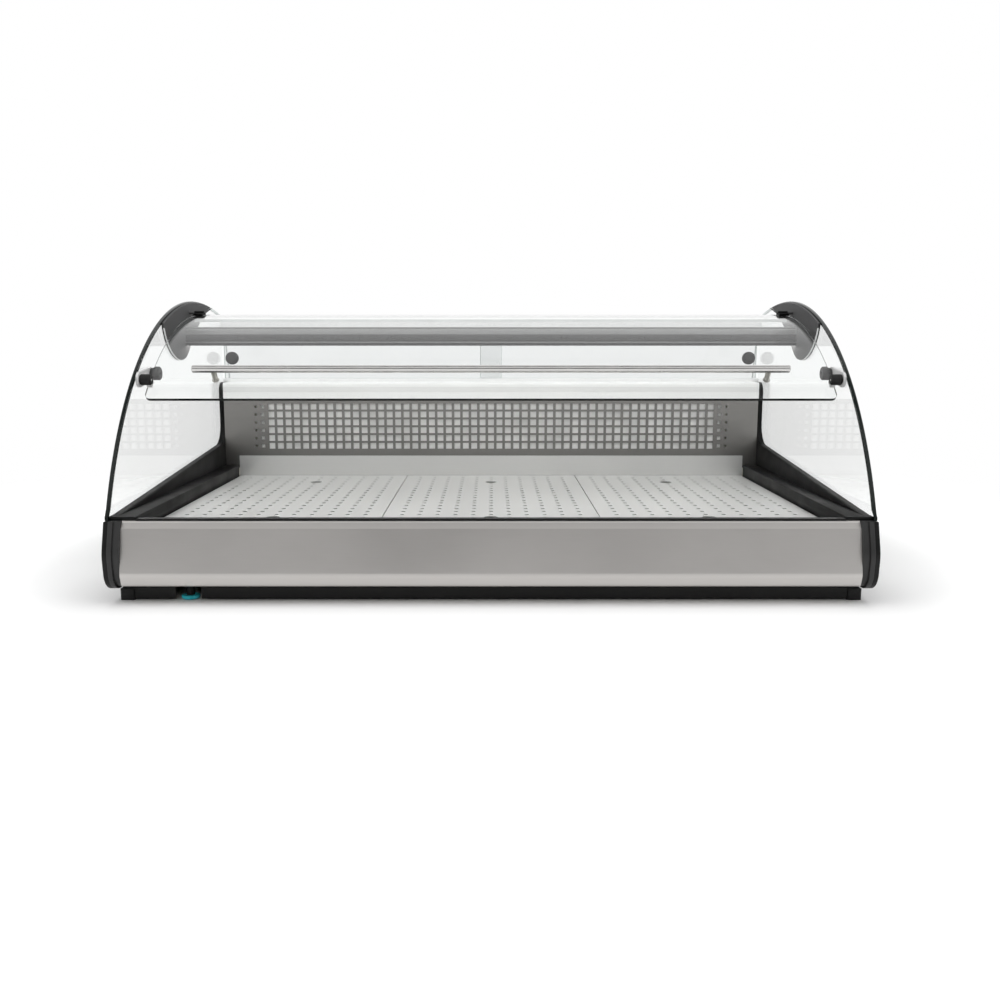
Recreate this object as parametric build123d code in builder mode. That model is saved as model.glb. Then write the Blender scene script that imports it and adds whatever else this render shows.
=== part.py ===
from build123d import *
from math import cos, degrees, hypot, radians, sin, sqrt, atan2
import os

os.makedirs("parts", exist_ok=True)

# Overall size of the case: +X to the customer's right, -Y to the customer, +Z up.
WIDTH = 1300.0
DEPTH = 870.0
HEIGHT = 526.0
HALF = WIDTH / 2
FRONT = -DEPTH / 2
REAR = DEPTH / 2

# Sheet thicknesses and fits used all over the case.
SHEET = 1.5
BASE_SHEET = 2.0
REST_GAP = 0.3
SLIDE_GAP = 0.5
SHAFT_GAP = 0.05

# Side panes: the rim is a round arc in front of its crown and a flatter one behind it.
SIDE_GLASS = 6.0
RIM_R = 600.0
REAR_RIM_R = 900.0
CROWN_SETBACK = 585.0
RIM_Z = 143.0
PANE_TOP_INSET = 45.0
PANE_TOP_R = 24.0
PANE_HEEL_R = 60.0

# Low sides: black end caps outside, dark mouldings with a rail and a rear upright inside.
CAP_WALL = 3.0
CAP_FOOT_Z = 25.0
CAP_TUCK = 6.0
CAP_FOOT_R = 34.0
NOSE_Z = 88.0
NOSE_R = 60.0
CAP_T = 16.0
FRAME_T = 12.0
FRAME_INSET = 3.0
RAIL_W = 44.0
RAIL_T = 6.0
RAIL_SETBACK = 31.0
SKIRT_T = 3.0
LIP_T = 12.0
LIP_RISE = 55.0
LIP_R = 50.0
UPRIGHT_INSET = 122.0
UPRIGHT_R = 24.0
LEDGE_Z = 345.0

# Base: two runners on the counter carry a plate with a lip folded down at its front.
RUNNER_W = 25.0
RUNNER_H = 20.0
RUNNER_INSET = 10.0
RUNNER_SETBACK = 48.0
RUNNER_CORNER_R = 4.0
BASE_SETBACK = 82.0
BASE_LIP_SETBACK = 50.0
BASE_LIP_Z = 2.0
BASE_NOTCH_W = 44.0

# Front fascia, a folded sheet that leans back to the rim of the tub.
PANEL_FOLD_SETBACK = 43.0
PANEL_TOP_SETBACK = 30.0
PANEL_BEVEL_SETBACK = 20.0
PANEL_BEVEL_H = 12.0
PANEL_NOSE_SETBACK = 2.0
PANEL_NOSE_Z = 54.0
PANEL_FOOT_SETBACK = 9.0
PANEL_FOOT_Z = 33.0
PANEL_LIP_SETBACK = 31.0
PANEL_BENDS = [3.0, 2.5, 20.0, 8.0]
TRIM_H = 3.0
TRIM_SETBACK = 29.0
TRIM_R = 1.2

# Tub: foam body, stainless ice pan, lift-out deck trays and drain.
FOAM_SETBACK = 32.0
FOAM_STEP_Z = 118.0
MACHINE_INSET = 120.0
PAN_SETBACK = 44.0
PAN_REAR_INSET = 132.0
PAN_FLOOR_Z = 70.0
PAN_RIM_Z = 112.0
PAN_REAR_Z = 172.0
DECK_Z = 125.0
TRAY_COUNT = 3
TRAY_GAP = 2.0
TRAY_HOLE_R = 4.5
TRAY_HOLE_PITCH = 33.0
TRAY_HOLE_MARGIN = 32.0
TRAY_CORNER_R = 6.0
FINGER_HOLE_R = 13.0
DRAIN_X = -522.0
DRAIN_SETBACK = 62.0
DRAIN_R = 7.0
DRAIN_WALL = 1.5
DRAIN_FLANGE_R = 12.0
CAP_Z = 1.0
CAP_R_OUT = 15.5
CAP_H = 6.0
CAP_FLOOR = 2.0

# Curved front pane that lifts on two clips, with its handle, guides and rests.
FRONT_GLASS = 6.0
FRONT_R = 572.0
FRONT_HALF = 630.0
FRONT_LOW_ANGLE = 43.8
FRONT_REAR_ANGLE = -3.2
FRONT_CORNER_R = 11.0
BAR_R = 7.0
BAR_OFF = 28.0
BAR_ANGLE = 39.1
BAR_HALF = 545.0
BAR_END_R = 2.5
LEG_R = 5.0
LEG_FOOT_R = 9.0
LEG_FOOT_T = 3.0
LEG_X = 507.0
GUIDE_R = 10.0
GUIDE_OFF = 13.0
GUIDE_ANGLE = 40.3
GUIDE_FOOT_W = 14.0
GUIDE_FOOT_X = 13.0
GUIDE_LENGTH = 23.0
STOP_R = 12.5
STOP_ANGLE = 34.9
STOP_LENGTH = 22.0
PLATE_T = 4.0
PLATE_W = 34.0
HINGE_SETBACK = 525.0
HINGE_PIN_R = 3.0
HINGE_PIN_GRIP = 14.0
CLIP_BARREL_R = 5.0
CLIP_T = 5.0
CLIP_W = 30.0
CLIP_GAP = 2.0
CLIP_FRONT_ANGLE = 9.4
CLIP_REAR_ANGLE = -3.4

# Ears: leaf-shaped plates under the crown; points are (behind the crown, below the crown).
EAR_T = 5.0
EAR_INSET = 3.0
EAR_FRONT = 232.0
EAR_REAR = 118.0
EAR_POINTS = [(-213, 87), (-169, 117), (-127, 125), (-88, 117), (-55, 93), (-4, 57), (55, 26)]
EAR_BORE_GAP = 0.02

# Canopy bar with the lamp, roof pane, rear rail and sliding doors.
BAR_SETBACK = 493.0
BAR_DEPTH = 38.0
BAR_DROP = 95.0
BAR_H = 38.0
BAR_WALL = 2.0
BAR_NOSE_R = 9.0
BAR_LIP = 3.0
BAR_LIP_T = 1.5
DIFFUSER_T = 3.0
BOARD_W = 18.0
BOARD_T = 1.6
BOARD_END = 30.0
ROOF_GLASS = 6.0
ROOF_SETBACK = 561.0
ROOF_DROP = 44.0
ROOF_NOTCH_GAP = 4.0
TOP_RAIL_INSET = 84.0
RAIL_DEPTH = 32.0
RAIL_DROP = 56.0
RAIL_H = 24.0
RAIL_REBATE = 8.0
DOOR_GLASS = 5.0
DOOR_INSET = 73.0
DOOR_PITCH = 12.0
DOOR_OVERLAP = 52.0
DOOR_END_GAP = 3.0
DOOR_CORNER_R = 4.0
GROOVE_H = 10.0
DOOR_LIFT = 4.0
TRACK_H = 8.0
TRACK_FLOOR = 3.0
TRACK_SIDE = 5.0
PULL_R = 15.5
PULL_BODY_R = 13.8
PULL_FLANGE = 1.2
PULL_INSET = 19.0
PULL_RISE = 57.0
PULL_DISH_R = 11.0
PULL_DISH = 2.5

# Evaporator box behind a perforated sheet, under a stainless ledge.
SCREEN_INSET = 130.0
SCREEN_GAP = 0.5
HOLE_SIZE = 14.0
HOLE_PITCH_X = 20.0
HOLE_PITCH_Z = 18.6
HOLE_COLUMNS = 53
HOLE_ROWS = 6
HOLE_LOW_Z = 195.0
PIN_HOLE_X = 557.0
PIN_HOLE_R = 2.4
SLOT_X = 541.0
SLOT_W = 8.0
SLOT_H = 8.0
LEDGE_H = 39.0
LEDGE_BEND_R = 6.0
LEDGE_REAR_H = 20.0
FOAM_REAR = 18.0
DRIP_OVER = 12.0
DRIP_INSET = 128.0
DRIP_DEPTH = 90.0
DRIP_H = 12.0
COIL_HALF = 530.0
COIL_INSET = 125.0
COIL_DEPTH = 60.0
COIL_H = 160.0
FIN_T = 2.0
FIN_PITCH = 20.0
COIL_PLATE = 3.0
COVER_OVER = 19.0
BEND_R = 14.0
BEND_TUBE_R = 4.0
BEND_COUNT = 3
BEND_PITCH = 44.0

# Fans: one square axial fan, used twice for the evaporator and once for the condenser.
FAN_SIZE = 92.0
FAN_DEPTH = 25.0
FAN_BORE_R = 43.5
FAN_CORNER_R = 5.0
FAN_HUB_R = 16.0
FAN_HUB_L = 13.0
FAN_FACE = 5.0
FAN_MOTOR_R = 17.0
FAN_MOTOR_L = 6.0
FAN_SHAFT_R = 2.5
FAN_TIP_R = 41.5
FAN_STRUT_W = 5.0
BLADE_COUNT = 7
BLADE_CHORD = 17.0
BLADE_T = 1.6
BLADE_PITCH = 42.0
EVAPORATOR_FAN_X = 250.0
EVAPORATOR_FAN_Z = 225.0
CONDENSER_FAN_X = 290.0
CONDENSER_FAN_INSET = 62.0

# Condensing unit on the base plate, behind the tub.
COMPRESSOR_X = -420.0
COMPRESSOR_INSET = 70.0
COMPRESSOR_R = 40.0
COMPRESSOR_L = 200.0
COMPRESSOR_DOME_R = 24.0
COMPRESSOR_PLATE_L = 170.0
COMPRESSOR_PLATE_W = 96.0
COMPRESSOR_PLATE_T = 3.0
GROMMET_R = 9.0
GROMMET_H = 10.0
GROMMET_INSET = 12.0
CONDENSER_X = 290.0
CONDENSER_L = 440.0
CONDENSER_INSET = 34.0
CONDENSER_DEPTH = 26.0
CONDENSER_H = 88.0
CONDENSER_FIN_PITCH = 11.0
DRIER_INSET = 90.0
DRIER_Z = 40.0
DRIER_R = 10.0
DRIER_L = 120.0
DRIER_NECK_R = 5.0
DRIER_DOME_R = 6.0
GAS_PIPE_R = 4.0
LIQUID_PIPE_R = 3.0
CAPILLARY_R = 1.5
PIPE_BEND_R = 14.0
PIPE_HOLE_GAP = 1.0
RISER_GAP = 18.0
CAPILLARY_GAP = 24.0
CAPILLARY_INSET = 113.0
SUCTION_Z = 180.0
CAPILLARY_Z = 260.0
DISCHARGE_STUB = 24.0
LIQUID_STUB = 30.0
CAPILLARY_TURN_X = -95.0

# Service side: rear panel, controller, rocker switches and cable gland.
BEZEL_PROUD = 4.0
VENT_L = 58.0
VENT_W = 5.0
VENT_PITCH_X = 70.0
VENT_PITCH_Z = 10.0
VENT_ROWS = 7
VENT_Z = 68.0
INLET_VENT_X = 290.0
INLET_VENT_COLUMNS = 6
OUTLET_VENT_X = -400.0
OUTLET_VENT_COLUMNS = 5
CONTROL_Z = 74.0
CONTROLLER_X = -92.0
CONTROLLER_L = 71.0
CONTROLLER_H = 29.0
CONTROLLER_DEPTH = 45.0
CONTROLLER_RIM = 3.5
CONTROLLER_BEZEL = 2.5
DISPLAY_L = 38.0
DISPLAY_H = 17.0
DISPLAY_T = 1.5
DISPLAY_SHIFT = 12.0
BUTTON_L = 8.4
BUTTON_H = 6.4
BUTTON_DEPTH = 4.0
BUTTON_PROUD = 1.2
BUTTON_SHIFT = -22.0
BUTTON_PITCH = 11.0
SWITCH_XS = {"light_switch": -24.0, "power_switch": 10.0}
SWITCH_L = 20.0
SWITCH_H = 30.0
SWITCH_DEPTH = 22.0
SWITCH_RIM = 2.0
SWITCH_BEZEL = 2.0
SWITCH_WALL = 2.0
ROCKER_PIVOT = 3.0
ROCKER_HALF_H = 11.2
ROCKER_TIP = 5.0
ROCKER_WAIST = 3.0
ROCKER_BACK = 4.0
ROCKER_TILT = 7.0
GLAND_X = -172.0
GLAND_R = 8.0
GLAND_NUT = 22.0
GLAND_NUT_T = 3.0
GLAND_BORE_R = 4.5
GLAND_INSIDE = 12.0
SCREW_R = 1.9
SCREW_HEAD_R = 3.6
SCREW_HEAD_H = 2.2
SCREW_INSET = 14.0
SCREW_COLUMNS = 5

# Places worked out from the sizes above.
CROWN_Y = FRONT + CROWN_SETBACK
CENTRE_Z = HEIGHT - RIM_R
CAP_R = hypot(CROWN_SETBACK, NOSE_Z - CENTRE_Z)
GLASS_IN = HALF - SIDE_GLASS
CAP_IN = HALF - CAP_T
FRAME_IN = CAP_IN - FRAME_T
RAIL_IN = GLASS_IN - RAIL_W
LIP_IN = GLASS_IN - LIP_T
EAR_IN = GLASS_IN - EAR_T
BACK_Y = REAR - BEZEL_PROUD
BACK_IN = BACK_Y - SHEET
BASE_TOP = RUNNER_H + BASE_SHEET
FOAM_TOP = RIM_Z - SHEET
PAN_HALF = RAIL_IN - SKIRT_T
MACHINE_Y = REAR - MACHINE_INSET
SCREEN_Y = REAR - SCREEN_INSET
LEDGE_UNDER = LEDGE_Z - LEDGE_BEND_R
FOAM_WALL_Y = BACK_IN - FOAM_REAR
FRONT_IN_R = FRONT_R - FRONT_GLASS
BAR_Z = HEIGHT - BAR_DROP
ROOF_Z = HEIGHT - ROOF_DROP
RAIL_Z = HEIGHT - RAIL_DROP
HINGE_Y = FRONT + HINGE_SETBACK
HINGE_Z = CENTRE_Z + sqrt((FRONT_R + REST_GAP) ** 2 - (HINGE_Y - CROWN_Y) ** 2) + CLIP_BARREL_R
DRAIN_Y = FRONT + DRAIN_SETBACK
DOOR_FLOOR_Z = LEDGE_Z + TRACK_FLOOR
DOOR_TOP_Z = RAIL_Z + GROOVE_H - DOOR_LIFT
DOOR_ENDS = GLASS_IN - DOOR_END_GAP
CONDENSER_LEFT = CONDENSER_X - CONDENSER_L / 2
CONDENSER_RIGHT = CONDENSER_X + CONDENSER_L / 2
DISCHARGE_X = CONDENSER_LEFT - DISCHARGE_STUB
LIQUID_X = CONDENSER_RIGHT + LIQUID_STUB
CONDENSER_MID_Y = REAR - CONDENSER_INSET + CONDENSER_DEPTH / 2
COMPRESSOR_Y = REAR - COMPRESSOR_INSET
COMPRESSOR_Z = BASE_TOP + GROMMET_H + COMPRESSOR_R + COMPRESSOR_PLATE_T - 1
DRIER_Y = REAR - DRIER_INSET
COIL_Z = FOAM_TOP + SHEET
DRIP_HALF = COIL_HALF + DRIP_OVER
COVER_HALF = COIL_HALF + COVER_OVER
RISER_X = -COIL_HALF - RISER_GAP
CAPILLARY_X = -COIL_HALF - CAPILLARY_GAP
COIL_BACK = REAR - COIL_INSET + COIL_DEPTH
SIDES = (("left", -1), ("right", 1))


def rim_front(z, radius):
    """Y of the front arc of this radius about the crown's centre, at height z."""
    return CROWN_Y - sqrt(radius**2 - (z - CENTRE_Z) ** 2)


def on_arc(radius, angle):
    """(Y, Z) at this radius, at an angle in degrees forward of the crown."""
    return CROWN_Y - radius * sin(radians(angle)), CENTRE_Z + radius * cos(radians(angle))


def behind_crown(distance, inset):
    """(Y, Z) on the flatter rear rim, this far behind the crown and inset below the edge."""
    radius = REAR_RIM_R - inset
    return CROWN_Y + distance, HEIGHT - REAR_RIM_R + sqrt(radius**2 - distance**2)


def side_plane(sign, inner):
    """Plane square to X at this distance from the middle, facing outwards on either side."""
    return Plane(origin=(sign * inner, 0, 0), x_dir=(0, sign, 0), z_dir=(sign, 0, 0))


def on_side(sign, points):
    """(Y, Z) points as a side plane of this sign reads them."""
    return [(sign * y, z) for y, z in points]


def facing_rear(y):
    """Plane square to Y, with local x along X and local y along Z, extruded rearwards by a minus."""
    return Plane.XZ.offset(-y)


def write(part, name):
    """Label one finished piece and write its file."""
    part.label = name
    export_step(part, f"parts/{name}.step")


def cap_outline(sign, x, inset, top):
    """Low side of the case seen from the side: leaning front, rounded nose and foot, flat rear."""
    radius = CAP_R - inset
    middle = (top + NOSE_Z) / 2
    nose = (rim_front(NOSE_Z, radius), NOSE_Z)
    start = (rim_front(top, radius), top)
    bend = (rim_front(middle, radius), middle)
    foot = (nose[0] + CAP_TUCK, CAP_FOOT_Z + inset)
    heel = (BACK_Y - inset, CAP_FOOT_Z + inset)
    with BuildSketch(side_plane(sign, x)) as outline:
        with BuildLine():
            ThreePointArc(*on_side(sign, [start, bend, nose]))
            Polyline(*on_side(sign, [nose, foot, heel, (BACK_Y - inset, top), start]))
        make_face()
        fillet(outline.vertices().sort_by(Axis.X)[1 if sign > 0 else -2], CAP_FOOT_R)
        fillet(outline.vertices().sort_by(Axis.X)[0 if sign > 0 else -1], NOSE_R)
    return outline.sketch


def fan_frame_section(x, y, z):
    """Square fan frame with its round bore, seen along the fan's axis."""
    with BuildSketch(facing_rear(y)) as section:
        with Locations((x, z)):
            RectangleRounded(FAN_SIZE, FAN_SIZE, FAN_CORNER_R)
            Circle(FAN_BORE_R, mode=Mode.SUBTRACT)
    return section.sketch


def fan_spider_section(x, y, z):
    """Motor plate of a fan with the struts that reach into its frame."""
    reach = 2 * FAN_BORE_R + FAN_STRUT_W / 2
    with BuildSketch(facing_rear(y)) as section:
        with Locations((x, z)):
            Circle(FAN_MOTOR_R)
            Rectangle(reach, FAN_STRUT_W)
            Rectangle(FAN_STRUT_W, reach)
    return section.sketch


def round_section(y, radius, *centres):
    """Round sections of one radius, square to Y."""
    with BuildSketch(facing_rear(y)) as section:
        with Locations(*centres):
            Circle(radius)
    return section.sketch


def fan_wheel(x, y, z):
    """Fan wheel: a bored hub with pitched blades, its axis along Y."""
    with BuildPart() as wheel:
        extrude(round_section(y + FAN_FACE, FAN_HUB_R, (x, z)), amount=-FAN_HUB_L)
        blade_y = y + FAN_FACE + FAN_HUB_L / 2
        for blade in range(BLADE_COUNT):
            turn = radians(360 * blade / BLADE_COUNT)
            out = (cos(turn), 0, sin(turn))
            root = FAN_HUB_R - BLADE_T
            foot = (x + root * out[0], blade_y, z + root * out[2])
            with BuildSketch(Plane(origin=foot, x_dir=(0, 1, 0), z_dir=out)):
                Rectangle(BLADE_CHORD, BLADE_T, rotation=BLADE_PITCH)
            extrude(amount=FAN_TIP_R - root)
        bore = round_section(y + FAN_FACE, FAN_SHAFT_R + SHAFT_GAP, (x, z))
        extrude(bore, amount=-FAN_HUB_L, mode=Mode.SUBTRACT)
    return wheel.part


# Base: runners that stand on the counter, and the plate on them.
with BuildPart() as base_runners:
    runner_x = CAP_IN + CAP_T - RUNNER_INSET - RUNNER_W / 2
    runner_y = (FRONT + RUNNER_SETBACK + BACK_IN) / 2
    with BuildSketch():
        with Locations((-runner_x, runner_y), (runner_x, runner_y)):
            Rectangle(RUNNER_W, BACK_IN - FRONT - RUNNER_SETBACK)
    extrude(amount=RUNNER_H)
    fillet(base_runners.edges().filter_by(Axis.Z), RUNNER_CORNER_R)
write(base_runners.part, "base_runners")

with BuildPart() as base_plate:
    base_front = FRONT + BASE_LIP_SETBACK
    notch_depth = BASE_SETBACK - BASE_LIP_SETBACK
    with BuildSketch(Plane.XY.offset(RUNNER_H)):
        with Locations((0, (base_front + BACK_IN) / 2)):
            Rectangle(2 * CAP_IN, BACK_IN - base_front)
        with Locations((DRAIN_X, base_front)):
            Rectangle(BASE_NOTCH_W, 2 * notch_depth, mode=Mode.SUBTRACT)
    extrude(amount=BASE_SHEET)
    with BuildSketch(Plane.XY.offset(BASE_LIP_Z)):
        with Locations((0, base_front + BASE_SHEET / 2)):
            Rectangle(2 * (runner_x - RUNNER_W / 2 - SLIDE_GAP), BASE_SHEET)
        with Locations((DRAIN_X, base_front)):
            Rectangle(BASE_NOTCH_W, 2 * notch_depth, mode=Mode.SUBTRACT)
    extrude(amount=RUNNER_H - BASE_LIP_Z)
write(base_plate.part, "base_plate")

# Low sides: hollow end caps, and mouldings with a rail, a skirt and a rear upright.
for side, sign in SIDES:
    with BuildPart() as end_cap:
        extrude(cap_outline(sign, CAP_IN, 0, RIM_Z), amount=CAP_T)
        pocket = cap_outline(sign, CAP_IN, CAP_WALL, RIM_Z - CAP_WALL)
        extrude(pocket, amount=CAP_T - CAP_WALL, mode=Mode.SUBTRACT)
    write(end_cap.part, f"{side}_end_cap")

    with BuildPart() as side_moulding:
        extrude(cap_outline(sign, FRAME_IN, FRAME_INSET, RIM_Z), amount=FRAME_T)
        rear_y = BACK_Y - FRAME_INSET
        with BuildSketch(side_plane(sign, FRAME_IN)):
            foot_y = FRONT + BASE_SETBACK
            foot_top = CAP_FOOT_Z + 2 * FRAME_INSET
            with BuildLine():
                Polyline(
                    *on_side(sign, [(foot_y, BASE_TOP), (rear_y, BASE_TOP)]),
                    *on_side(sign, [(rear_y, foot_top), (foot_y, foot_top)]),
                    close=True,
                )
            make_face()
        extrude(amount=FRAME_T)
        with BuildSketch(side_plane(sign, RAIL_IN)):
            rail_y = FRONT + RAIL_SETBACK
            rail_top = RIM_Z + RAIL_T
            rail_end = SCREEN_Y - SCREEN_GAP
            with BuildLine():
                Polyline(
                    *on_side(sign, [(rail_y, RIM_Z), (rail_end, RIM_Z)]),
                    *on_side(sign, [(rail_end, rail_top), (rail_y, rail_top)]),
                    close=True,
                )
            make_face()
        extrude(amount=RAIL_W)
        with BuildSketch(side_plane(sign, RAIL_IN)):
            skirt_y = FRONT + PAN_SETBACK + SHEET + SLIDE_GAP
            skirt_end = REAR - PAN_REAR_INSET - SHEET - SLIDE_GAP
            skirt_z = PAN_RIM_Z + SHEET
            with BuildLine():
                Polyline(
                    *on_side(sign, [(skirt_y, skirt_z), (skirt_end, skirt_z)]),
                    *on_side(sign, [(skirt_end, RIM_Z), (skirt_y, RIM_Z)]),
                    close=True,
                )
            make_face()
        extrude(amount=SKIRT_T)
        with BuildSketch(side_plane(sign, LIP_IN)) as lip:
            upright_y = REAR - UPRIGHT_INSET
            lip_y = FRONT + RAIL_SETBACK + RAIL_T
            lip_top = RIM_Z + RAIL_T + LIP_RISE
            with BuildLine():
                Polyline(
                    *on_side(sign, [(lip_y, RIM_Z), (lip_y, RIM_Z + RAIL_T)]),
                    *on_side(sign, [(upright_y, lip_top), (upright_y, LEDGE_Z)]),
                    *on_side(sign, [(rear_y, LEDGE_Z), (rear_y, RIM_Z)]),
                    close=True,
                )
            make_face()
            crook, shoulder = on_side(sign, [(upright_y, lip_top), (upright_y, LEDGE_Z)])
            fillet(lip.vertices().sort_by_distance(crook)[0], LIP_R)
            fillet(lip.vertices().sort_by_distance(shoulder)[0], UPRIGHT_R)
        extrude(amount=LIP_T)
    write(side_moulding.part, f"{side}_side_moulding")

# Front fascia: one folded sheet, with a soft trim on its top fold.
with BuildPart() as front_panel:
    with BuildSketch(Plane.YZ):
        with BuildLine():
            FilletPolyline(
                (FRONT + PANEL_FOLD_SETBACK, RIM_Z),
                (FRONT + PANEL_TOP_SETBACK, RIM_Z),
                (FRONT + PANEL_BEVEL_SETBACK, RIM_Z - PANEL_BEVEL_H),
                (FRONT + PANEL_NOSE_SETBACK, PANEL_NOSE_Z),
                (FRONT + PANEL_FOOT_SETBACK, PANEL_FOOT_Z),
                (FRONT + PANEL_LIP_SETBACK, PANEL_FOOT_Z),
                radius=PANEL_BENDS,
            )
            offset(amount=SHEET, side=Side.LEFT)
        make_face()
    extrude(amount=FRAME_IN, both=True)
write(front_panel.part, "front_panel")

with BuildPart() as front_edge_trim:
    trim_y = FRONT + TRIM_SETBACK
    trim_end = FRONT + PAN_SETBACK + SHEET
    with BuildSketch(Plane.YZ):
        with Locations(((trim_y + trim_end) / 2, RIM_Z + TRIM_H / 2)):
            Rectangle(trim_end - trim_y, TRIM_H)
    extrude(amount=RAIL_IN - SLIDE_GAP, both=True)
    fillet(front_edge_trim.edges().filter_by(Axis.X).group_by(Axis.Z)[-1], TRIM_R)
write(front_edge_trim.part, "front_edge_trim")

# Foam body: the tub, the floor over the machine space and the wall behind the evaporator.
with BuildPart() as insulation:
    with BuildSketch(Plane.YZ):
        with BuildLine():
            Polyline(
                (FRONT + FOAM_SETBACK, PANEL_FOOT_Z + SHEET),
                (FRONT + BASE_SETBACK, PANEL_FOOT_Z + SHEET),
                (FRONT + BASE_SETBACK, BASE_TOP),
                (MACHINE_Y, BASE_TOP),
                (MACHINE_Y, FOAM_STEP_Z),
                (BACK_IN, FOAM_STEP_Z),
                (BACK_IN, LEDGE_UNDER),
                (FOAM_WALL_Y, LEDGE_UNDER),
                (FOAM_WALL_Y, FOAM_TOP),
                (FRONT + FOAM_SETBACK, FOAM_TOP),
                close=True,
            )
        make_face()
    extrude(amount=FRAME_IN, both=True)
    pan_mid = (PAN_SETBACK - PAN_REAR_INSET) / 2
    pan_depth = DEPTH - PAN_SETBACK - PAN_REAR_INSET
    with BuildSketch(Plane.XY.offset(PAN_FLOOR_Z)):
        with Locations((0, pan_mid)):
            Rectangle(2 * (PAN_HALF + SHEET), pan_depth)
    extrude(amount=FOAM_TOP - PAN_FLOOR_Z, mode=Mode.SUBTRACT)
    with BuildSketch(Plane.XY.offset(PAN_RIM_Z)):
        with Locations((0, pan_mid)):
            Rectangle(2 * (RAIL_IN + SKIRT_T), pan_depth)
    extrude(amount=FOAM_TOP - PAN_RIM_Z, mode=Mode.SUBTRACT)
    with BuildSketch(Plane.XY.offset(BASE_TOP)):
        with Locations((DRAIN_X, DRAIN_Y)):
            Circle(DRAIN_R + PIPE_HOLE_GAP)
        with Locations((RISER_X, COMPRESSOR_Y)):
            Circle(GAS_PIPE_R + PIPE_HOLE_GAP)
        with Locations((CAPILLARY_X, REAR - CAPILLARY_INSET)):
            Circle(CAPILLARY_R + PIPE_HOLE_GAP)
    extrude(amount=LEDGE_Z, mode=Mode.SUBTRACT)
write(insulation.part, "insulation")

# Ice pan: a welded stainless tray with low side rims, a front wall and a taller rear wall.
with BuildPart() as ice_pan:
    with BuildSketch(Plane.XY.offset(PAN_FLOOR_Z)):
        with Locations((0, pan_mid)):
            Rectangle(2 * (PAN_HALF + SHEET), pan_depth)
    extrude(amount=PAN_RIM_Z - PAN_FLOOR_Z)
    with BuildSketch(Plane.XY.offset(PAN_FLOOR_Z + SHEET)):
        with Locations((0, pan_mid)):
            Rectangle(2 * PAN_HALF, pan_depth - 2 * SHEET)
    extrude(amount=PAN_RIM_Z - PAN_FLOOR_Z, mode=Mode.SUBTRACT)
    rim_w = RAIL_IN + SKIRT_T - PAN_HALF
    with BuildSketch(Plane.XY.offset(PAN_RIM_Z)):
        with Locations((-PAN_HALF - rim_w / 2, pan_mid), (PAN_HALF + rim_w / 2, pan_mid)):
            Rectangle(rim_w, pan_depth)
    extrude(amount=SHEET)
    with BuildSketch(Plane.XY.offset(PAN_RIM_Z)):
        with Locations((0, FRONT + PAN_SETBACK + SHEET / 2)):
            Rectangle(2 * (PAN_HALF + SHEET), SHEET)
    extrude(amount=RIM_Z - PAN_RIM_Z)
    with BuildSketch(Plane.XY.offset(PAN_RIM_Z)):
        with Locations((0, REAR - PAN_REAR_INSET - SHEET / 2)):
            Rectangle(2 * (PAN_HALF + SHEET), SHEET)
    extrude(amount=PAN_REAR_Z - PAN_RIM_Z)
    with BuildSketch(Plane.XY.offset(PAN_FLOOR_Z)):
        with Locations((DRAIN_X, DRAIN_Y)):
            Circle(DRAIN_R + REST_GAP)
    extrude(amount=SHEET, mode=Mode.SUBTRACT)
write(ice_pan.part, "ice_pan")

# Deck trays: perforated sheets on folded skirts, side by side in the pan.
tray_l = (2 * PAN_HALF - (TRAY_COUNT + 1) * TRAY_GAP) / TRAY_COUNT
tray_d = pan_depth - 2 * SHEET - 2 * TRAY_GAP
tray_z = PAN_FLOOR_Z + SHEET
hole_columns = int((tray_l - 2 * TRAY_HOLE_MARGIN) / TRAY_HOLE_PITCH) + 1
hole_rows = int((tray_d - 2 * TRAY_HOLE_MARGIN) / TRAY_HOLE_PITCH) + 1
for index, place in enumerate(("left", "middle", "right")):
    tray_x = (index - (TRAY_COUNT - 1) / 2) * (tray_l + TRAY_GAP)
    with BuildPart() as deck_tray:
        with BuildSketch(Plane.XY.offset(tray_z)):
            with Locations((tray_x, pan_mid)):
                RectangleRounded(tray_l, tray_d, TRAY_CORNER_R)
        extrude(amount=DECK_Z - tray_z)
        with BuildSketch(Plane.XY.offset(tray_z)):
            with Locations((tray_x, pan_mid)):
                RectangleRounded(tray_l - 2 * SHEET, tray_d - 2 * SHEET, TRAY_CORNER_R - SHEET)
        extrude(amount=DECK_Z - tray_z - SHEET, mode=Mode.SUBTRACT)
        with BuildSketch(Plane.XY.offset(DECK_Z - SHEET)):
            with Locations((tray_x, pan_mid)):
                with GridLocations(TRAY_HOLE_PITCH, TRAY_HOLE_PITCH, hole_columns, hole_rows):
                    Circle(TRAY_HOLE_R)
            finger_y = tray_d / 2 - TRAY_HOLE_MARGIN - 2.5 * TRAY_HOLE_PITCH
            with Locations((tray_x, pan_mid - finger_y), (tray_x, pan_mid + finger_y)):
                Circle(FINGER_HOLE_R)
        extrude(amount=SHEET, mode=Mode.SUBTRACT)
    write(deck_tray.part, f"deck_tray_{place}")

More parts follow.
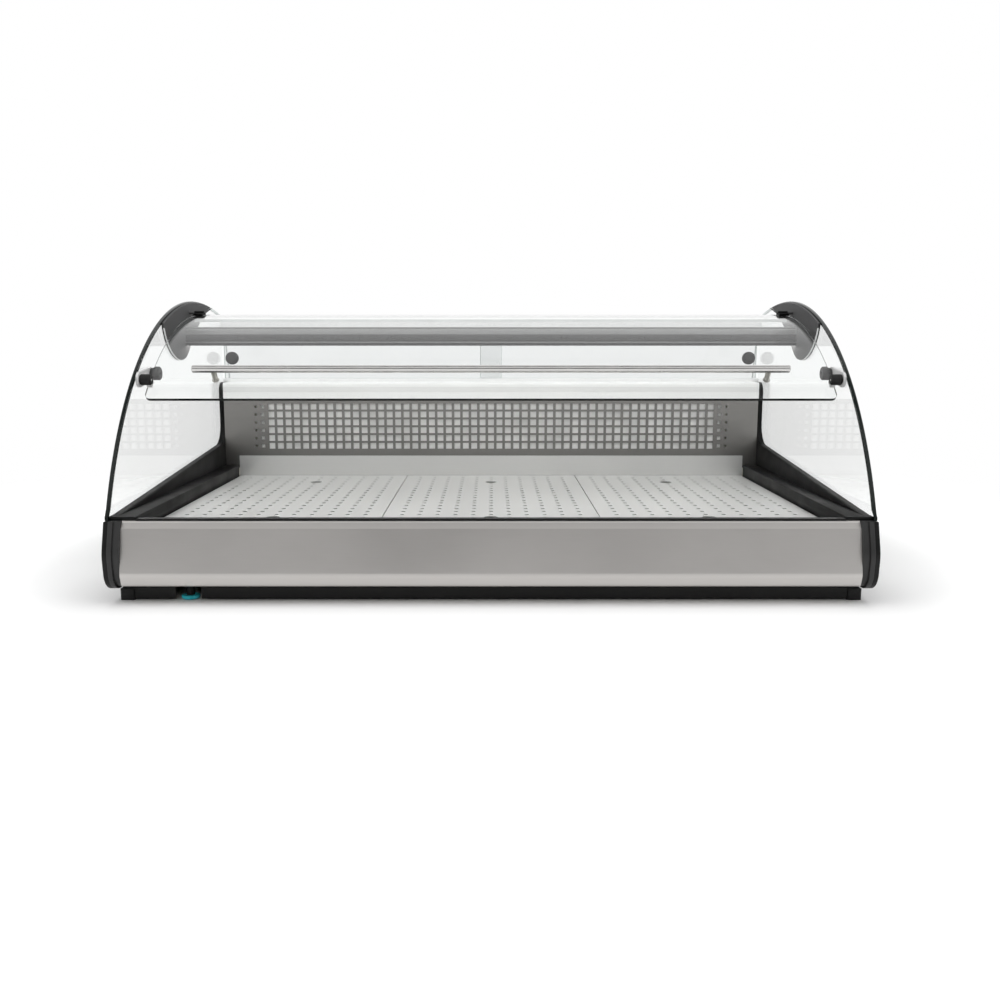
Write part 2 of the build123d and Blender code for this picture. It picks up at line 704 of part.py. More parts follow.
# Drain: a flanged pipe through the tub, closed from below by a quarter-turn cap.
with BuildPart() as drain_pipe:
    pipe_end = CAP_Z + CAP_FLOOR + SHAFT_GAP
    with BuildSketch(Plane.XY.offset(pipe_end)):
        with Locations((DRAIN_X, DRAIN_Y)):
            Circle(DRAIN_R)
    extrude(amount=PAN_FLOOR_Z + SHEET - pipe_end)
    with BuildSketch(Plane.XY.offset(PAN_FLOOR_Z + SHEET)):
        with Locations((DRAIN_X, DRAIN_Y)):
            Circle(DRAIN_FLANGE_R)
    extrude(amount=SHEET)
    with BuildSketch(Plane.XY.offset(pipe_end)):
        with Locations((DRAIN_X, DRAIN_Y)):
            Circle(DRAIN_R - DRAIN_WALL)
    extrude(amount=PAN_FLOOR_Z + 2 * SHEET - pipe_end, mode=Mode.SUBTRACT)
write(drain_pipe.part, "drain_pipe")

with BuildPart() as drain_cap:
    with BuildSketch(Plane.XY.offset(CAP_Z)):
        with Locations((DRAIN_X, DRAIN_Y)):
            Circle(CAP_R_OUT)
    extrude(amount=CAP_H)
    fillet(drain_cap.edges().group_by(Axis.Z)[0], CAP_FLOOR / 2)
    with BuildSketch(Plane.XY.offset(CAP_Z + CAP_FLOOR)):
        with Locations((DRAIN_X, DRAIN_Y)):
            Circle(DRAIN_R + SHAFT_GAP)
    extrude(amount=CAP_H, mode=Mode.SUBTRACT)
write(drain_cap.part, "drain_cap")

# Side panes stand on the end caps; ears hang from their inner faces under the crown.
for side, sign in SIDES:
    pane_front = (rim_front(RIM_Z, RIM_R), RIM_Z)
    pane_mid = on_arc(RIM_R, degrees(atan2(CROWN_Y - pane_front[0], RIM_Z - CENTRE_Z)) / 2)
    pane_run = REAR - PANE_TOP_INSET - CROWN_Y
    pane_top = behind_crown(pane_run, 0)
    pane_rise = behind_crown(pane_run / 2, 0)
    pane_rear = BACK_Y - FRAME_INSET
    crown = (CROWN_Y, HEIGHT)
    with BuildPart() as side_glass:
        with BuildSketch(side_plane(sign, GLASS_IN)) as pane:
            with BuildLine():
                ThreePointArc(*on_side(sign, [pane_front, pane_mid, crown]))
                ThreePointArc(*on_side(sign, [crown, pane_rise, pane_top]))
                Polyline(
                    *on_side(sign, [pane_top, (pane_rear, LEDGE_Z)]),
                    *on_side(sign, [(pane_rear, RIM_Z), pane_front]),
                )
            make_face()
            heel = pane.vertices().group_by(Axis.X)[-1 if sign > 0 else 0].sort_by(Axis.Y)[-1]
            fillet(heel, PANE_HEEL_R)
            corner = pane.vertices().sort_by_distance(on_side(sign, [pane_top])[0])[0]
            fillet(corner, PANE_TOP_R)
        extrude(amount=SIDE_GLASS)
    write(side_glass.part, f"{side}_side_glass")

    ear_front = (CROWN_Y - EAR_FRONT, CENTRE_Z + sqrt((RIM_R - EAR_INSET) ** 2 - EAR_FRONT**2))
    ear_bend = on_arc(RIM_R - EAR_INSET, degrees(atan2(EAR_FRONT, ear_front[1] - CENTRE_Z)) / 2)
    ear_crown = (CROWN_Y, HEIGHT - EAR_INSET)
    ear_rise = behind_crown(EAR_REAR / 2, EAR_INSET)
    ear_rear = behind_crown(EAR_REAR, EAR_INSET)
    ear_edge = [(CROWN_Y + behind, HEIGHT - below) for behind, below in EAR_POINTS]
    with BuildPart() as ear:
        with BuildSketch(side_plane(sign, EAR_IN)):
            with BuildLine():
                ThreePointArc(*on_side(sign, [ear_front, ear_bend, ear_crown]))
                ThreePointArc(*on_side(sign, [ear_crown, ear_rise, ear_rear]))
                Spline(*on_side(sign, [ear_front, *ear_edge, ear_rear]))
            make_face()
            with Locations(*on_side(sign, [(HINGE_Y, HINGE_Z)])):
                Circle(HINGE_PIN_R + EAR_BORE_GAP, mode=Mode.SUBTRACT)
        extrude(amount=EAR_T)
    write(ear.part, f"{side}_ear")

# Curved front pane, bent about the same centre as the rim of the side panes.
with BuildPart() as front_glass:
    with BuildSketch(Plane.YZ):
        with BuildLine():
            sweep_angle = FRONT_LOW_ANGLE + FRONT_REAR_ANGLE
            CenterArc((CROWN_Y, CENTRE_Z), FRONT_R, 90 - FRONT_REAR_ANGLE, sweep_angle)
            CenterArc((CROWN_Y, CENTRE_Z), FRONT_IN_R, 90 - FRONT_REAR_ANGLE, sweep_angle)
            Line(on_arc(FRONT_IN_R, FRONT_LOW_ANGLE), on_arc(FRONT_R, FRONT_LOW_ANGLE))
            Line(on_arc(FRONT_IN_R, -FRONT_REAR_ANGLE), on_arc(FRONT_R, -FRONT_REAR_ANGLE))
        make_face()
    extrude(amount=FRONT_HALF, both=True)
    short_edges = front_glass.edges().filter_by(GeomType.LINE).group_by(SortBy.LENGTH)[0]
    fillet(short_edges.sort_by(Axis.Z)[:2], FRONT_CORNER_R)
write(front_glass.part, "front_glass")

# Lifting handle: a polished bar on two legs with round feet on the glass.
with BuildPart() as glass_handle:
    bar_y, bar_z = on_arc(FRONT_R + BAR_OFF, BAR_ANGLE)
    with BuildSketch(Plane.YZ):
        with Locations((bar_y, bar_z)):
            Circle(BAR_R)
    extrude(amount=BAR_HALF, both=True)
    fillet(glass_handle.edges().filter_by(GeomType.CIRCLE), BAR_END_R)
    leg_y, leg_z = on_arc(FRONT_R + REST_GAP, BAR_ANGLE)
    leg_out = (0, -sin(radians(BAR_ANGLE)), cos(radians(BAR_ANGLE)))
    for leg_x in (-LEG_X, LEG_X):
        leg_plane = Plane(origin=(leg_x, leg_y, leg_z), x_dir=(1, 0, 0), z_dir=leg_out)
        with BuildSketch(leg_plane):
            Circle(LEG_FOOT_R)
        extrude(amount=LEG_FOOT_T)
        with BuildSketch(leg_plane):
            Circle(LEG_R)
        extrude(amount=BAR_OFF - REST_GAP)
write(glass_handle.part, "glass_handle")

# Hinge: clips bonded to the pane's rear corners turn on pins that stand in the ears.
with BuildPart() as hinge_clips:
    clip_in = EAR_IN - CLIP_GAP - CLIP_W
    for sign in (-1, 1):
        with BuildSketch(Plane.YZ.offset(min(sign * clip_in, sign * (clip_in + CLIP_W)))):
            with BuildLine():
                saddle_in = FRONT_R + REST_GAP
                saddle_out = saddle_in + CLIP_T
                saddle_angle = CLIP_FRONT_ANGLE + CLIP_REAR_ANGLE
                CenterArc((CROWN_Y, CENTRE_Z), saddle_in, 90 - CLIP_REAR_ANGLE, saddle_angle)
                CenterArc((CROWN_Y, CENTRE_Z), saddle_out, 90 - CLIP_REAR_ANGLE, saddle_angle)
                Line(on_arc(saddle_in, CLIP_FRONT_ANGLE), on_arc(saddle_out, CLIP_FRONT_ANGLE))
                Line(on_arc(saddle_in, -CLIP_REAR_ANGLE), on_arc(saddle_out, -CLIP_REAR_ANGLE))
            make_face()
            with Locations((HINGE_Y, HINGE_Z)):
                Circle(CLIP_BARREL_R)
        extrude(amount=CLIP_W)
        with BuildSketch(side_plane(sign, clip_in + CLIP_W - HINGE_PIN_GRIP - SLIDE_GAP)):
            with Locations(*on_side(sign, [(HINGE_Y, HINGE_Z)])):
                Circle(HINGE_PIN_R + SHAFT_GAP)
        extrude(amount=HINGE_PIN_GRIP + SLIDE_GAP, mode=Mode.SUBTRACT)
write(hinge_clips.part, "hinge_clips")

with BuildPart() as hinge_pins:
    for sign in (-1, 1):
        with BuildSketch(side_plane(sign, clip_in + CLIP_W - HINGE_PIN_GRIP)):
            with Locations(*on_side(sign, [(HINGE_Y, HINGE_Z)])):
                Circle(HINGE_PIN_R)
        extrude(amount=HINGE_PIN_GRIP + CLIP_GAP + EAR_T)
write(hinge_pins.part, "hinge_pins")

# Guides on the pane's lower corners keep it centred; rubber rests on plates carry it when shut.
guide_y, guide_z = on_arc(FRONT_R + GUIDE_OFF, GUIDE_ANGLE)
stop_y, stop_z = on_arc(FRONT_IN_R - STOP_R - REST_GAP, STOP_ANGLE)
plate_in = GLASS_IN - PLATE_T
guide_in = plate_in - SLIDE_GAP - GUIDE_LENGTH
with BuildPart() as glass_guides:
    for sign in (-1, 1):
        with BuildSketch(side_plane(sign, guide_in)):
            with Locations(*on_side(sign, [(guide_y, guide_z)])):
                Circle(GUIDE_R)
        extrude(amount=GUIDE_LENGTH)
        guide_foot = on_arc(FRONT_R + REST_GAP + GUIDE_OFF / 2, GUIDE_ANGLE)
        with BuildSketch(side_plane(sign, guide_in)):
            with Locations(*on_side(sign, [guide_foot])):
                Rectangle(GUIDE_FOOT_W, GUIDE_OFF, rotation=sign * GUIDE_ANGLE)
        extrude(amount=GUIDE_FOOT_X)
write(glass_guides.part, "glass_guides")

with BuildPart() as glass_rests:
    for sign in (-1, 1):
        with BuildSketch(side_plane(sign, plate_in - STOP_LENGTH)):
            with Locations(*on_side(sign, [(stop_y, stop_z)])):
                Circle(STOP_R)
        extrude(amount=STOP_LENGTH)
write(glass_rests.part, "glass_rests")

with BuildPart() as rest_plates:
    plate_span = hypot(stop_y - guide_y, stop_z - guide_z)
    plate_turn = degrees(atan2(stop_z - guide_z, stop_y - guide_y))
    for sign in (-1, 1):
        with BuildSketch(side_plane(sign, plate_in)):
            with Locations(*on_side(sign, [((stop_y + guide_y) / 2, (stop_z + guide_z) / 2)])):
                SlotCenterToCenter(plate_span, PLATE_W, rotation=sign * plate_turn)
        extrude(amount=PLATE_T)
write(rest_plates.part, "rest_plates")

# Canopy bar between the ears: a downward channel that holds the lamp board and its diffuser.
bar_front = FRONT + BAR_SETBACK
bar_mid = bar_front + BAR_DEPTH / 2
with BuildPart() as canopy_bar:
    with BuildSketch(Plane.YZ) as section:
        with Locations((bar_mid, BAR_Z + BAR_H / 2)):
            Rectangle(BAR_DEPTH, BAR_H)
        fillet(section.vertices().sort_by(Axis.X)[:2].sort_by(Axis.Y)[-1], BAR_NOSE_R)
        with Locations((bar_mid, BAR_Z + BAR_LIP_T / 2)):
            mouth = BAR_DEPTH - 2 * BAR_WALL - 2 * BAR_LIP
            Rectangle(mouth, BAR_LIP_T, mode=Mode.SUBTRACT)
    extrude(amount=EAR_IN, both=True)
    with BuildSketch(Plane.YZ) as hollow:
        hollow_h = BAR_H - BAR_WALL - BAR_LIP_T
        with Locations((bar_mid, BAR_Z + BAR_LIP_T + hollow_h / 2)):
            Rectangle(BAR_DEPTH - 2 * BAR_WALL, hollow_h)
        fillet(hollow.vertices().sort_by(Axis.X)[:2].sort_by(Axis.Y)[-1], BAR_NOSE_R - BAR_WALL)
    extrude(amount=EAR_IN, both=True, mode=Mode.SUBTRACT)
write(canopy_bar.part, "canopy_bar")

with BuildPart() as led_board:
    with BuildSketch(Plane.YZ):
        with Locations((bar_mid, BAR_Z + BAR_H - BAR_WALL - BOARD_T / 2)):
            Rectangle(BOARD_W, BOARD_T)
    extrude(amount=EAR_IN - BOARD_END, both=True)
write(led_board.part, "led_board")

with BuildPart() as lamp_diffuser:
    with BuildSketch(Plane.YZ):
        with Locations((bar_mid, BAR_Z + BAR_LIP_T + DIFFUSER_T / 2)):
            Rectangle(BAR_DEPTH - 2 * BAR_WALL - 2 * SLIDE_GAP, DIFFUSER_T)
    extrude(amount=EAR_IN, both=True)
write(lamp_diffuser.part, "lamp_diffuser")

# Roof pane bonded between the side panes, on the rebate of the rear rail, notched round the ears.
rail_front = REAR - TOP_RAIL_INSET
with BuildPart() as roof_glass:
    roof_end = rail_front + RAIL_REBATE - SLIDE_GAP
    roof_start = FRONT + ROOF_SETBACK
    notch_end = CROWN_Y + EAR_REAR + ROOF_NOTCH_GAP
    with BuildSketch(Plane.XY.offset(ROOF_Z)):
        with Locations((0, (notch_end + roof_end) / 2)):
            Rectangle(2 * GLASS_IN, roof_end - notch_end)
        with Locations((0, (roof_start + roof_end) / 2)):
            Rectangle(2 * (EAR_IN - SLIDE_GAP), roof_end - roof_start)
    extrude(amount=ROOF_GLASS)
write(roof_glass.part, "roof_glass")

door_ys = [REAR - DOOR_INSET + DOOR_GLASS / 2 + lane * DOOR_PITCH for lane in (0, 1)]
groove_w = DOOR_GLASS + 2 * SLIDE_GAP
with BuildPart() as rear_top_rail:
    with BuildSketch(Plane.YZ) as section:
        with Locations((rail_front + RAIL_DEPTH / 2, RAIL_Z + RAIL_H / 2)):
            Rectangle(RAIL_DEPTH, RAIL_H)
        rebate_h = RAIL_Z + RAIL_H - ROOF_Z
        with Locations((rail_front + RAIL_REBATE / 2, ROOF_Z + rebate_h / 2)):
            Rectangle(RAIL_REBATE, rebate_h, mode=Mode.SUBTRACT)
        with Locations(*[(door_y, RAIL_Z + GROOVE_H / 2) for door_y in door_ys]):
            Rectangle(groove_w, GROOVE_H, mode=Mode.SUBTRACT)
    extrude(amount=GLASS_IN, both=True)
write(rear_top_rail.part, "rear_top_rail")

with BuildPart() as lower_door_track:
    track_w = DOOR_PITCH + groove_w + 2 * TRACK_SIDE
    groove_depth = TRACK_H - TRACK_FLOOR
    with BuildSketch(Plane.YZ):
        with Locations((sum(door_ys) / 2, LEDGE_Z + TRACK_H / 2)):
            Rectangle(track_w, TRACK_H)
        with Locations(*[(door_y, DOOR_FLOOR_Z + groove_depth / 2) for door_y in door_ys]):
            Rectangle(groove_w, groove_depth, mode=Mode.SUBTRACT)
    extrude(amount=GLASS_IN - SLIDE_GAP, both=True)
write(lower_door_track.part, "lower_door_track")

# Sliding doors: two panes that overlap in the middle, each with a dished round pull.
pull_z = LEDGE_Z + PULL_RISE
door_l = DOOR_ENDS + DOOR_OVERLAP / 2
for (side, sign), door_y in zip(SIDES, door_ys):
    door_x = sign * (DOOR_ENDS - door_l / 2)
    pull_x = sign * (DOOR_ENDS - PULL_INSET)
    door_face = door_y - DOOR_GLASS / 2
    with BuildPart() as door:
        with BuildSketch(facing_rear(door_face)):
            with Locations((door_x, (DOOR_FLOOR_Z + DOOR_TOP_Z) / 2)):
                RectangleRounded(door_l, DOOR_TOP_Z - DOOR_FLOOR_Z, DOOR_CORNER_R)
            with Locations((pull_x, pull_z)):
                Circle(PULL_BODY_R + REST_GAP, mode=Mode.SUBTRACT)
        extrude(amount=-DOOR_GLASS)
    write(door.part, f"{side}_door")

    with BuildPart() as door_pull:
        flange_y = door_face - PULL_FLANGE
        pull_l = DOOR_GLASS + 2 * PULL_FLANGE
        extrude(round_section(flange_y, PULL_R, (pull_x, pull_z)), amount=-PULL_FLANGE)
        extrude(round_section(flange_y, PULL_BODY_R, (pull_x, pull_z)), amount=-pull_l)
        rear_flange = round_section(door_face + DOOR_GLASS, PULL_R, (pull_x, pull_z))
        extrude(rear_flange, amount=-PULL_FLANGE)
        dish = round_section(flange_y + pull_l, PULL_DISH_R, (pull_x, pull_z))
        extrude(dish, amount=PULL_DISH, mode=Mode.SUBTRACT)
        dish = round_section(flange_y, PULL_DISH_R, (pull_x, pull_z))
        extrude(dish, amount=-PULL_DISH, mode=Mode.SUBTRACT)
    write(door_pull.part, f"{side}_door_pull")

# Perforated sheet in front of the evaporator, and the stainless ledge that caps it.
with BuildPart() as evaporator_panel:
    hole_mid_z = HOLE_LOW_Z + (HOLE_ROWS - 1) * HOLE_PITCH_Z / 2
    with BuildSketch(facing_rear(SCREEN_Y)):
        with Locations((0, (RIM_Z + LEDGE_UNDER) / 2)):
            Rectangle(2 * (LIP_IN - SCREEN_GAP), LEDGE_UNDER - RIM_Z)
        with Locations((0, hole_mid_z)):
            with GridLocations(HOLE_PITCH_X, HOLE_PITCH_Z, HOLE_COLUMNS, HOLE_ROWS):
                Rectangle(HOLE_SIZE, HOLE_SIZE, mode=Mode.SUBTRACT)
            with GridLocations(2 * SLOT_X, HOLE_PITCH_Z, 2, HOLE_ROWS):
                Rectangle(SLOT_W, SLOT_H, mode=Mode.SUBTRACT)
            with GridLocations(2 * PIN_HOLE_X, HOLE_PITCH_Z, 2, HOLE_ROWS):
                Circle(PIN_HOLE_R, mode=Mode.SUBTRACT)
    extrude(amount=-SHEET)
write(evaporator_panel.part, "evaporator_panel")

with BuildPart() as rear_ledge:
    with BuildSketch(Plane.YZ):
        with BuildLine():
            FilletPolyline(
                (SCREEN_Y - SHEET, LEDGE_Z - LEDGE_H),
                (SCREEN_Y - SHEET, LEDGE_Z),
                (BACK_Y + SHEET, LEDGE_Z),
                (BACK_Y + SHEET, LEDGE_Z - LEDGE_REAR_H),
                radius=LEDGE_BEND_R,
            )
            offset(amount=SHEET, side=Side.RIGHT)
        make_face()
    extrude(amount=LIP_IN - SCREEN_GAP, both=True)
write(rear_ledge.part, "rear_ledge")

# Evaporator: drip tray, coil with a front plate, fins and return bends, and two fans on its back.
with BuildPart() as drip_tray:
    drip_mid = REAR - DRIP_INSET + DRIP_DEPTH / 2
    with BuildSketch(Plane.XY.offset(FOAM_TOP)):
        with Locations((0, drip_mid)):
            Rectangle(2 * DRIP_HALF, DRIP_DEPTH)
    extrude(amount=DRIP_H)
    with BuildSketch(Plane.XY.offset(FOAM_TOP + SHEET)):
        with Locations((0, drip_mid)):
            Rectangle(2 * (DRIP_HALF - SHEET), DRIP_DEPTH - 2 * SHEET)
    extrude(amount=DRIP_H, mode=Mode.SUBTRACT)
write(drip_tray.part, "drip_tray")

with BuildPart() as evaporator_coil:
    coil_y = REAR - COIL_INSET
    fin_count = int((2 * COIL_HALF - FIN_PITCH) / FIN_PITCH)
    with BuildSketch(Plane.XY.offset(COIL_Z)):
        with Locations((0, coil_y + COIL_DEPTH / 2)):
            with GridLocations(FIN_PITCH, 1, fin_count, 1):
                Rectangle(FIN_T, COIL_DEPTH)
            with GridLocations(2 * COIL_HALF - COIL_PLATE, 1, 2, 1):
                Rectangle(COIL_PLATE, COIL_DEPTH)
    extrude(amount=COIL_H)
    with BuildSketch(Plane.XY.offset(COIL_Z + DRIP_H)):
        with Locations((0, coil_y + COIL_PLATE / 2)):
            Rectangle(2 * COVER_HALF, COIL_PLATE)
    extrude(amount=COIL_H - DRIP_H)
    for bend in range(BEND_COUNT):
        bend_z = COIL_Z + COIL_H / 2 + (bend - (BEND_COUNT - 1) / 2) * BEND_PITCH
        with BuildSketch(Plane.YZ.offset(COIL_HALF)):
            with Locations((coil_y + COIL_DEPTH / 2, bend_z + BEND_R)):
                Circle(BEND_TUBE_R)
        revolve(axis=Axis((COIL_HALF, 0, bend_z), (0, 1, 0)), revolution_arc=180)
write(evaporator_coil.part, "evaporator_coil")

evaporator_fans = {"left": -EVAPORATOR_FAN_X, "right": EVAPORATOR_FAN_X}
condenser_fan_y = REAR - CONDENSER_FAN_INSET
condenser_fan_z = BASE_TOP + FAN_SIZE / 2
motor_back = FAN_DEPTH - FAN_MOTOR_L
with BuildPart() as evaporator_fan_frames:
    for fan_x in evaporator_fans.values():
        extrude(fan_frame_section(fan_x, COIL_BACK, EVAPORATOR_FAN_Z), amount=-FAN_DEPTH)
        spider = fan_spider_section(fan_x, COIL_BACK + motor_back, EVAPORATOR_FAN_Z)
        extrude(spider, amount=-FAN_MOTOR_L)
        shaft = round_section(COIL_BACK + FAN_FACE, FAN_SHAFT_R, (fan_x, EVAPORATOR_FAN_Z))
        extrude(shaft, amount=FAN_FACE - motor_back)
write(evaporator_fan_frames.part, "evaporator_fan_frames")

for side, fan_x in evaporator_fans.items():
    write(fan_wheel(fan_x, COIL_BACK, EVAPORATOR_FAN_Z), f"{side}_evaporator_fan")

with BuildPart() as condenser_fan_frame:
    frame_section = fan_frame_section(CONDENSER_FAN_X, condenser_fan_y, condenser_fan_z)
    extrude(frame_section, amount=-FAN_DEPTH)
    spider = fan_spider_section(CONDENSER_FAN_X, condenser_fan_y + motor_back, condenser_fan_z)
    extrude(spider, amount=-FAN_MOTOR_L)
    shaft = round_section(condenser_fan_y + FAN_FACE, FAN_SHAFT_R, (CONDENSER_FAN_X, condenser_fan_z))
    extrude(shaft, amount=FAN_FACE - motor_back)
write(condenser_fan_frame.part, "condenser_fan_frame")
write(fan_wheel(CONDENSER_FAN_X, condenser_fan_y, condenser_fan_z), "condenser_fan")

# Condensing unit: a low compressor on rubber grommets, the condenser, drier and copper pipes.
with BuildPart() as compressor:
    with BuildSketch(Plane.YZ.offset(COMPRESSOR_X - COMPRESSOR_L / 2)):
        with Locations((COMPRESSOR_Y, COMPRESSOR_Z)):
            Circle(COMPRESSOR_R)
    extrude(amount=COMPRESSOR_L)
    fillet(compressor.edges().filter_by(GeomType.CIRCLE), COMPRESSOR_DOME_R)
    with BuildSketch(Plane.XY.offset(BASE_TOP + GROMMET_H)):
        with Locations((COMPRESSOR_X, COMPRESSOR_Y)):
            RectangleRounded(COMPRESSOR_PLATE_L, COMPRESSOR_PLATE_W, GROMMET_INSET)
    extrude(amount=COMPRESSOR_PLATE_T)
write(compressor.part, "compressor")

with BuildPart() as compressor_mounts:
    with BuildSketch(Plane.XY.offset(BASE_TOP)):
        with Locations((COMPRESSOR_X, COMPRESSOR_Y)):
            grommet_x = COMPRESSOR_PLATE_L - 2 * GROMMET_INSET
            grommet_y = COMPRESSOR_PLATE_W - 2 * GROMMET_INSET
            with GridLocations(grommet_x, grommet_y, 2, 2):
                Circle(GROMMET_R)
    extrude(amount=GROMMET_H)
write(compressor_mounts.part, "compressor_mounts")

with BuildPart() as condenser_coil:
    fin_count = int((CONDENSER_L - CONDENSER_FIN_PITCH) / CONDENSER_FIN_PITCH)
    with BuildSketch(Plane.XY.offset(BASE_TOP)):
        with Locations((CONDENSER_X, CONDENSER_MID_Y)):
            Rectangle(CONDENSER_L, COIL_PLATE)
            with GridLocations(CONDENSER_FIN_PITCH, 1, fin_count, 1):
                Rectangle(FIN_T, CONDENSER_DEPTH)
            with GridLocations(CONDENSER_L - COIL_PLATE, 1, 2, 1):
                Rectangle(COIL_PLATE, CONDENSER_DEPTH)
    extrude(amount=CONDENSER_H)
write(condenser_coil.part, "condenser_coil")

with BuildPart() as filter_drier:
    with BuildSketch(Plane.YZ):
        with Locations((DRIER_Y, DRIER_Z)):
            Circle(DRIER_R)
    extrude(amount=DRIER_L / 2 - DRIER_NECK_R, both=True)
    fillet(filter_drier.edges().filter_by(GeomType.CIRCLE), DRIER_DOME_R)
    with BuildSketch(Plane.YZ):
        with Locations((DRIER_Y, DRIER_Z)):
            Circle(DRIER_NECK_R)
    extrude(amount=DRIER_L / 2, both=True)
write(filter_drier.part, "filter_drier")

compressor_left = COMPRESSOR_X - COMPRESSOR_L / 2
compressor_right = COMPRESSOR_X + COMPRESSOR_L / 2
capillary_y = REAR - CAPILLARY_INSET
pipe_routes = [
    (
        GAS_PIPE_R,
        (compressor_right, COMPRESSOR_Y, COMPRESSOR_Z),
        (DISCHARGE_X, COMPRESSOR_Y, COMPRESSOR_Z),
        (DISCHARGE_X, CONDENSER_MID_Y, COMPRESSOR_Z),
        (CONDENSER_LEFT, CONDENSER_MID_Y, COMPRESSOR_Z),
    ),
    (
        LIQUID_PIPE_R,
        (CONDENSER_RIGHT, CONDENSER_MID_Y, DRIER_Z),
        (LIQUID_X, CONDENSER_MID_Y, DRIER_Z),
        (LIQUID_X, DRIER_Y, DRIER_Z),
        (DRIER_L / 2, DRIER_Y, DRIER_Z),
    ),
    (
        CAPILLARY_R,
        (-DRIER_L / 2, DRIER_Y, DRIER_Z),
        (CAPILLARY_TURN_X, DRIER_Y, DRIER_Z),
        (CAPILLARY_TURN_X, capillary_y, DRIER_Z),
        (CAPILLARY_X, capillary_y, DRIER_Z),
        (CAPILLARY_X, capillary_y, CAPILLARY_Z),
        (CAPILLARY_X, COMPRESSOR_Y, CAPILLARY_Z),
        (-COIL_HALF, COMPRESSOR_Y, CAPILLARY_Z),
    ),
    (
        GAS_PIPE_R,
        (-COIL_HALF, COMPRESSOR_Y, SUCTION_Z),
        (RISER_X, COMPRESSOR_Y, SUCTION_Z),
        (RISER_X, COMPRESSOR_Y, COMPRESSOR_Z),
        (compressor_left, COMPRESSOR_Y, COMPRESSOR_Z),
    ),
]
with BuildPart() as refrigerant_pipes:
    for pipe_r, *route in pipe_routes:
        with BuildLine() as path:
            FilletPolyline(*route, radius=PIPE_BEND_R)
        with BuildSketch(Plane(origin=path.line @ 0, z_dir=path.line % 0)):
            Circle(pipe_r)
        sweep(path=path.line)
write(refrigerant_pipes.part, "refrigerant_pipes")

# Service side: vented rear panel with cut-outs for the controls and holes for its screws.
screw_xs = CAP_IN - SCREW_INSET
screw_low_z = BASE_TOP + SCREW_INSET
screw_high_z = LEDGE_Z - LEDGE_REAR_H - SCREW_INSET
screw_mid_z = (screw_low_z + screw_high_z) / 2
screw_pitch_x = 2 * screw_xs / (SCREW_COLUMNS - 1)
with BuildPart() as rear_panel:
    with BuildSketch(facing_rear(BACK_IN)):
        with Locations((0, (BASE_TOP + LEDGE_UNDER) / 2)):
            Rectangle(2 * (CAP_IN - SLIDE_GAP), LEDGE_UNDER - BASE_TOP)
        with Locations((INLET_VENT_X, VENT_Z)):
            with GridLocations(VENT_PITCH_X, VENT_PITCH_Z, INLET_VENT_COLUMNS, VENT_ROWS):
                SlotOverall(VENT_L, VENT_W, mode=Mode.SUBTRACT)
        with Locations((OUTLET_VENT_X, VENT_Z)):
            with GridLocations(VENT_PITCH_X, VENT_PITCH_Z, OUTLET_VENT_COLUMNS, VENT_ROWS):
                SlotOverall(VENT_L, VENT_W, mode=Mode.SUBTRACT)
        with Locations((CONTROLLER_X, CONTROL_Z)):
            Rectangle(CONTROLLER_L + 2 * REST_GAP, CONTROLLER_H + 2 * REST_GAP, mode=Mode.SUBTRACT)
        with Locations(*[(switch_x, CONTROL_Z) for switch_x in SWITCH_XS.values()]):
            Rectangle(SWITCH_L + 2 * REST_GAP, SWITCH_H + 2 * REST_GAP, mode=Mode.SUBTRACT)
        with Locations((GLAND_X, CONTROL_Z)):
            Circle(GLAND_R + REST_GAP, mode=Mode.SUBTRACT)
        with Locations((0, screw_mid_z)):
            with GridLocations(screw_pitch_x, screw_high_z - screw_low_z, SCREW_COLUMNS, 2):
                Circle(SCREW_R + SHAFT_GAP, mode=Mode.SUBTRACT)
    extrude(amount=-SHEET)
write(rear_panel.part, "rear_panel")

with BuildPart() as panel_screws:
    for column in range(SCREW_COLUMNS):
        screw_x = -screw_xs + column * screw_pitch_x
        for screw_z in (screw_low_z, screw_high_z):
            extrude(round_section(BACK_IN, SCREW_R, (screw_x, screw_z)), amount=-SHEET)
            extrude(round_section(BACK_Y, SCREW_HEAD_R, (screw_x, screw_z)), amount=-SCREW_HEAD_H)
    heads = panel_screws.faces().sort_by(Axis.Y).group_by(Axis.Y)[-1]
    fillet(heads.edges(), SCREW_HEAD_H / 2)
write(panel_screws.part, "panel_screws")

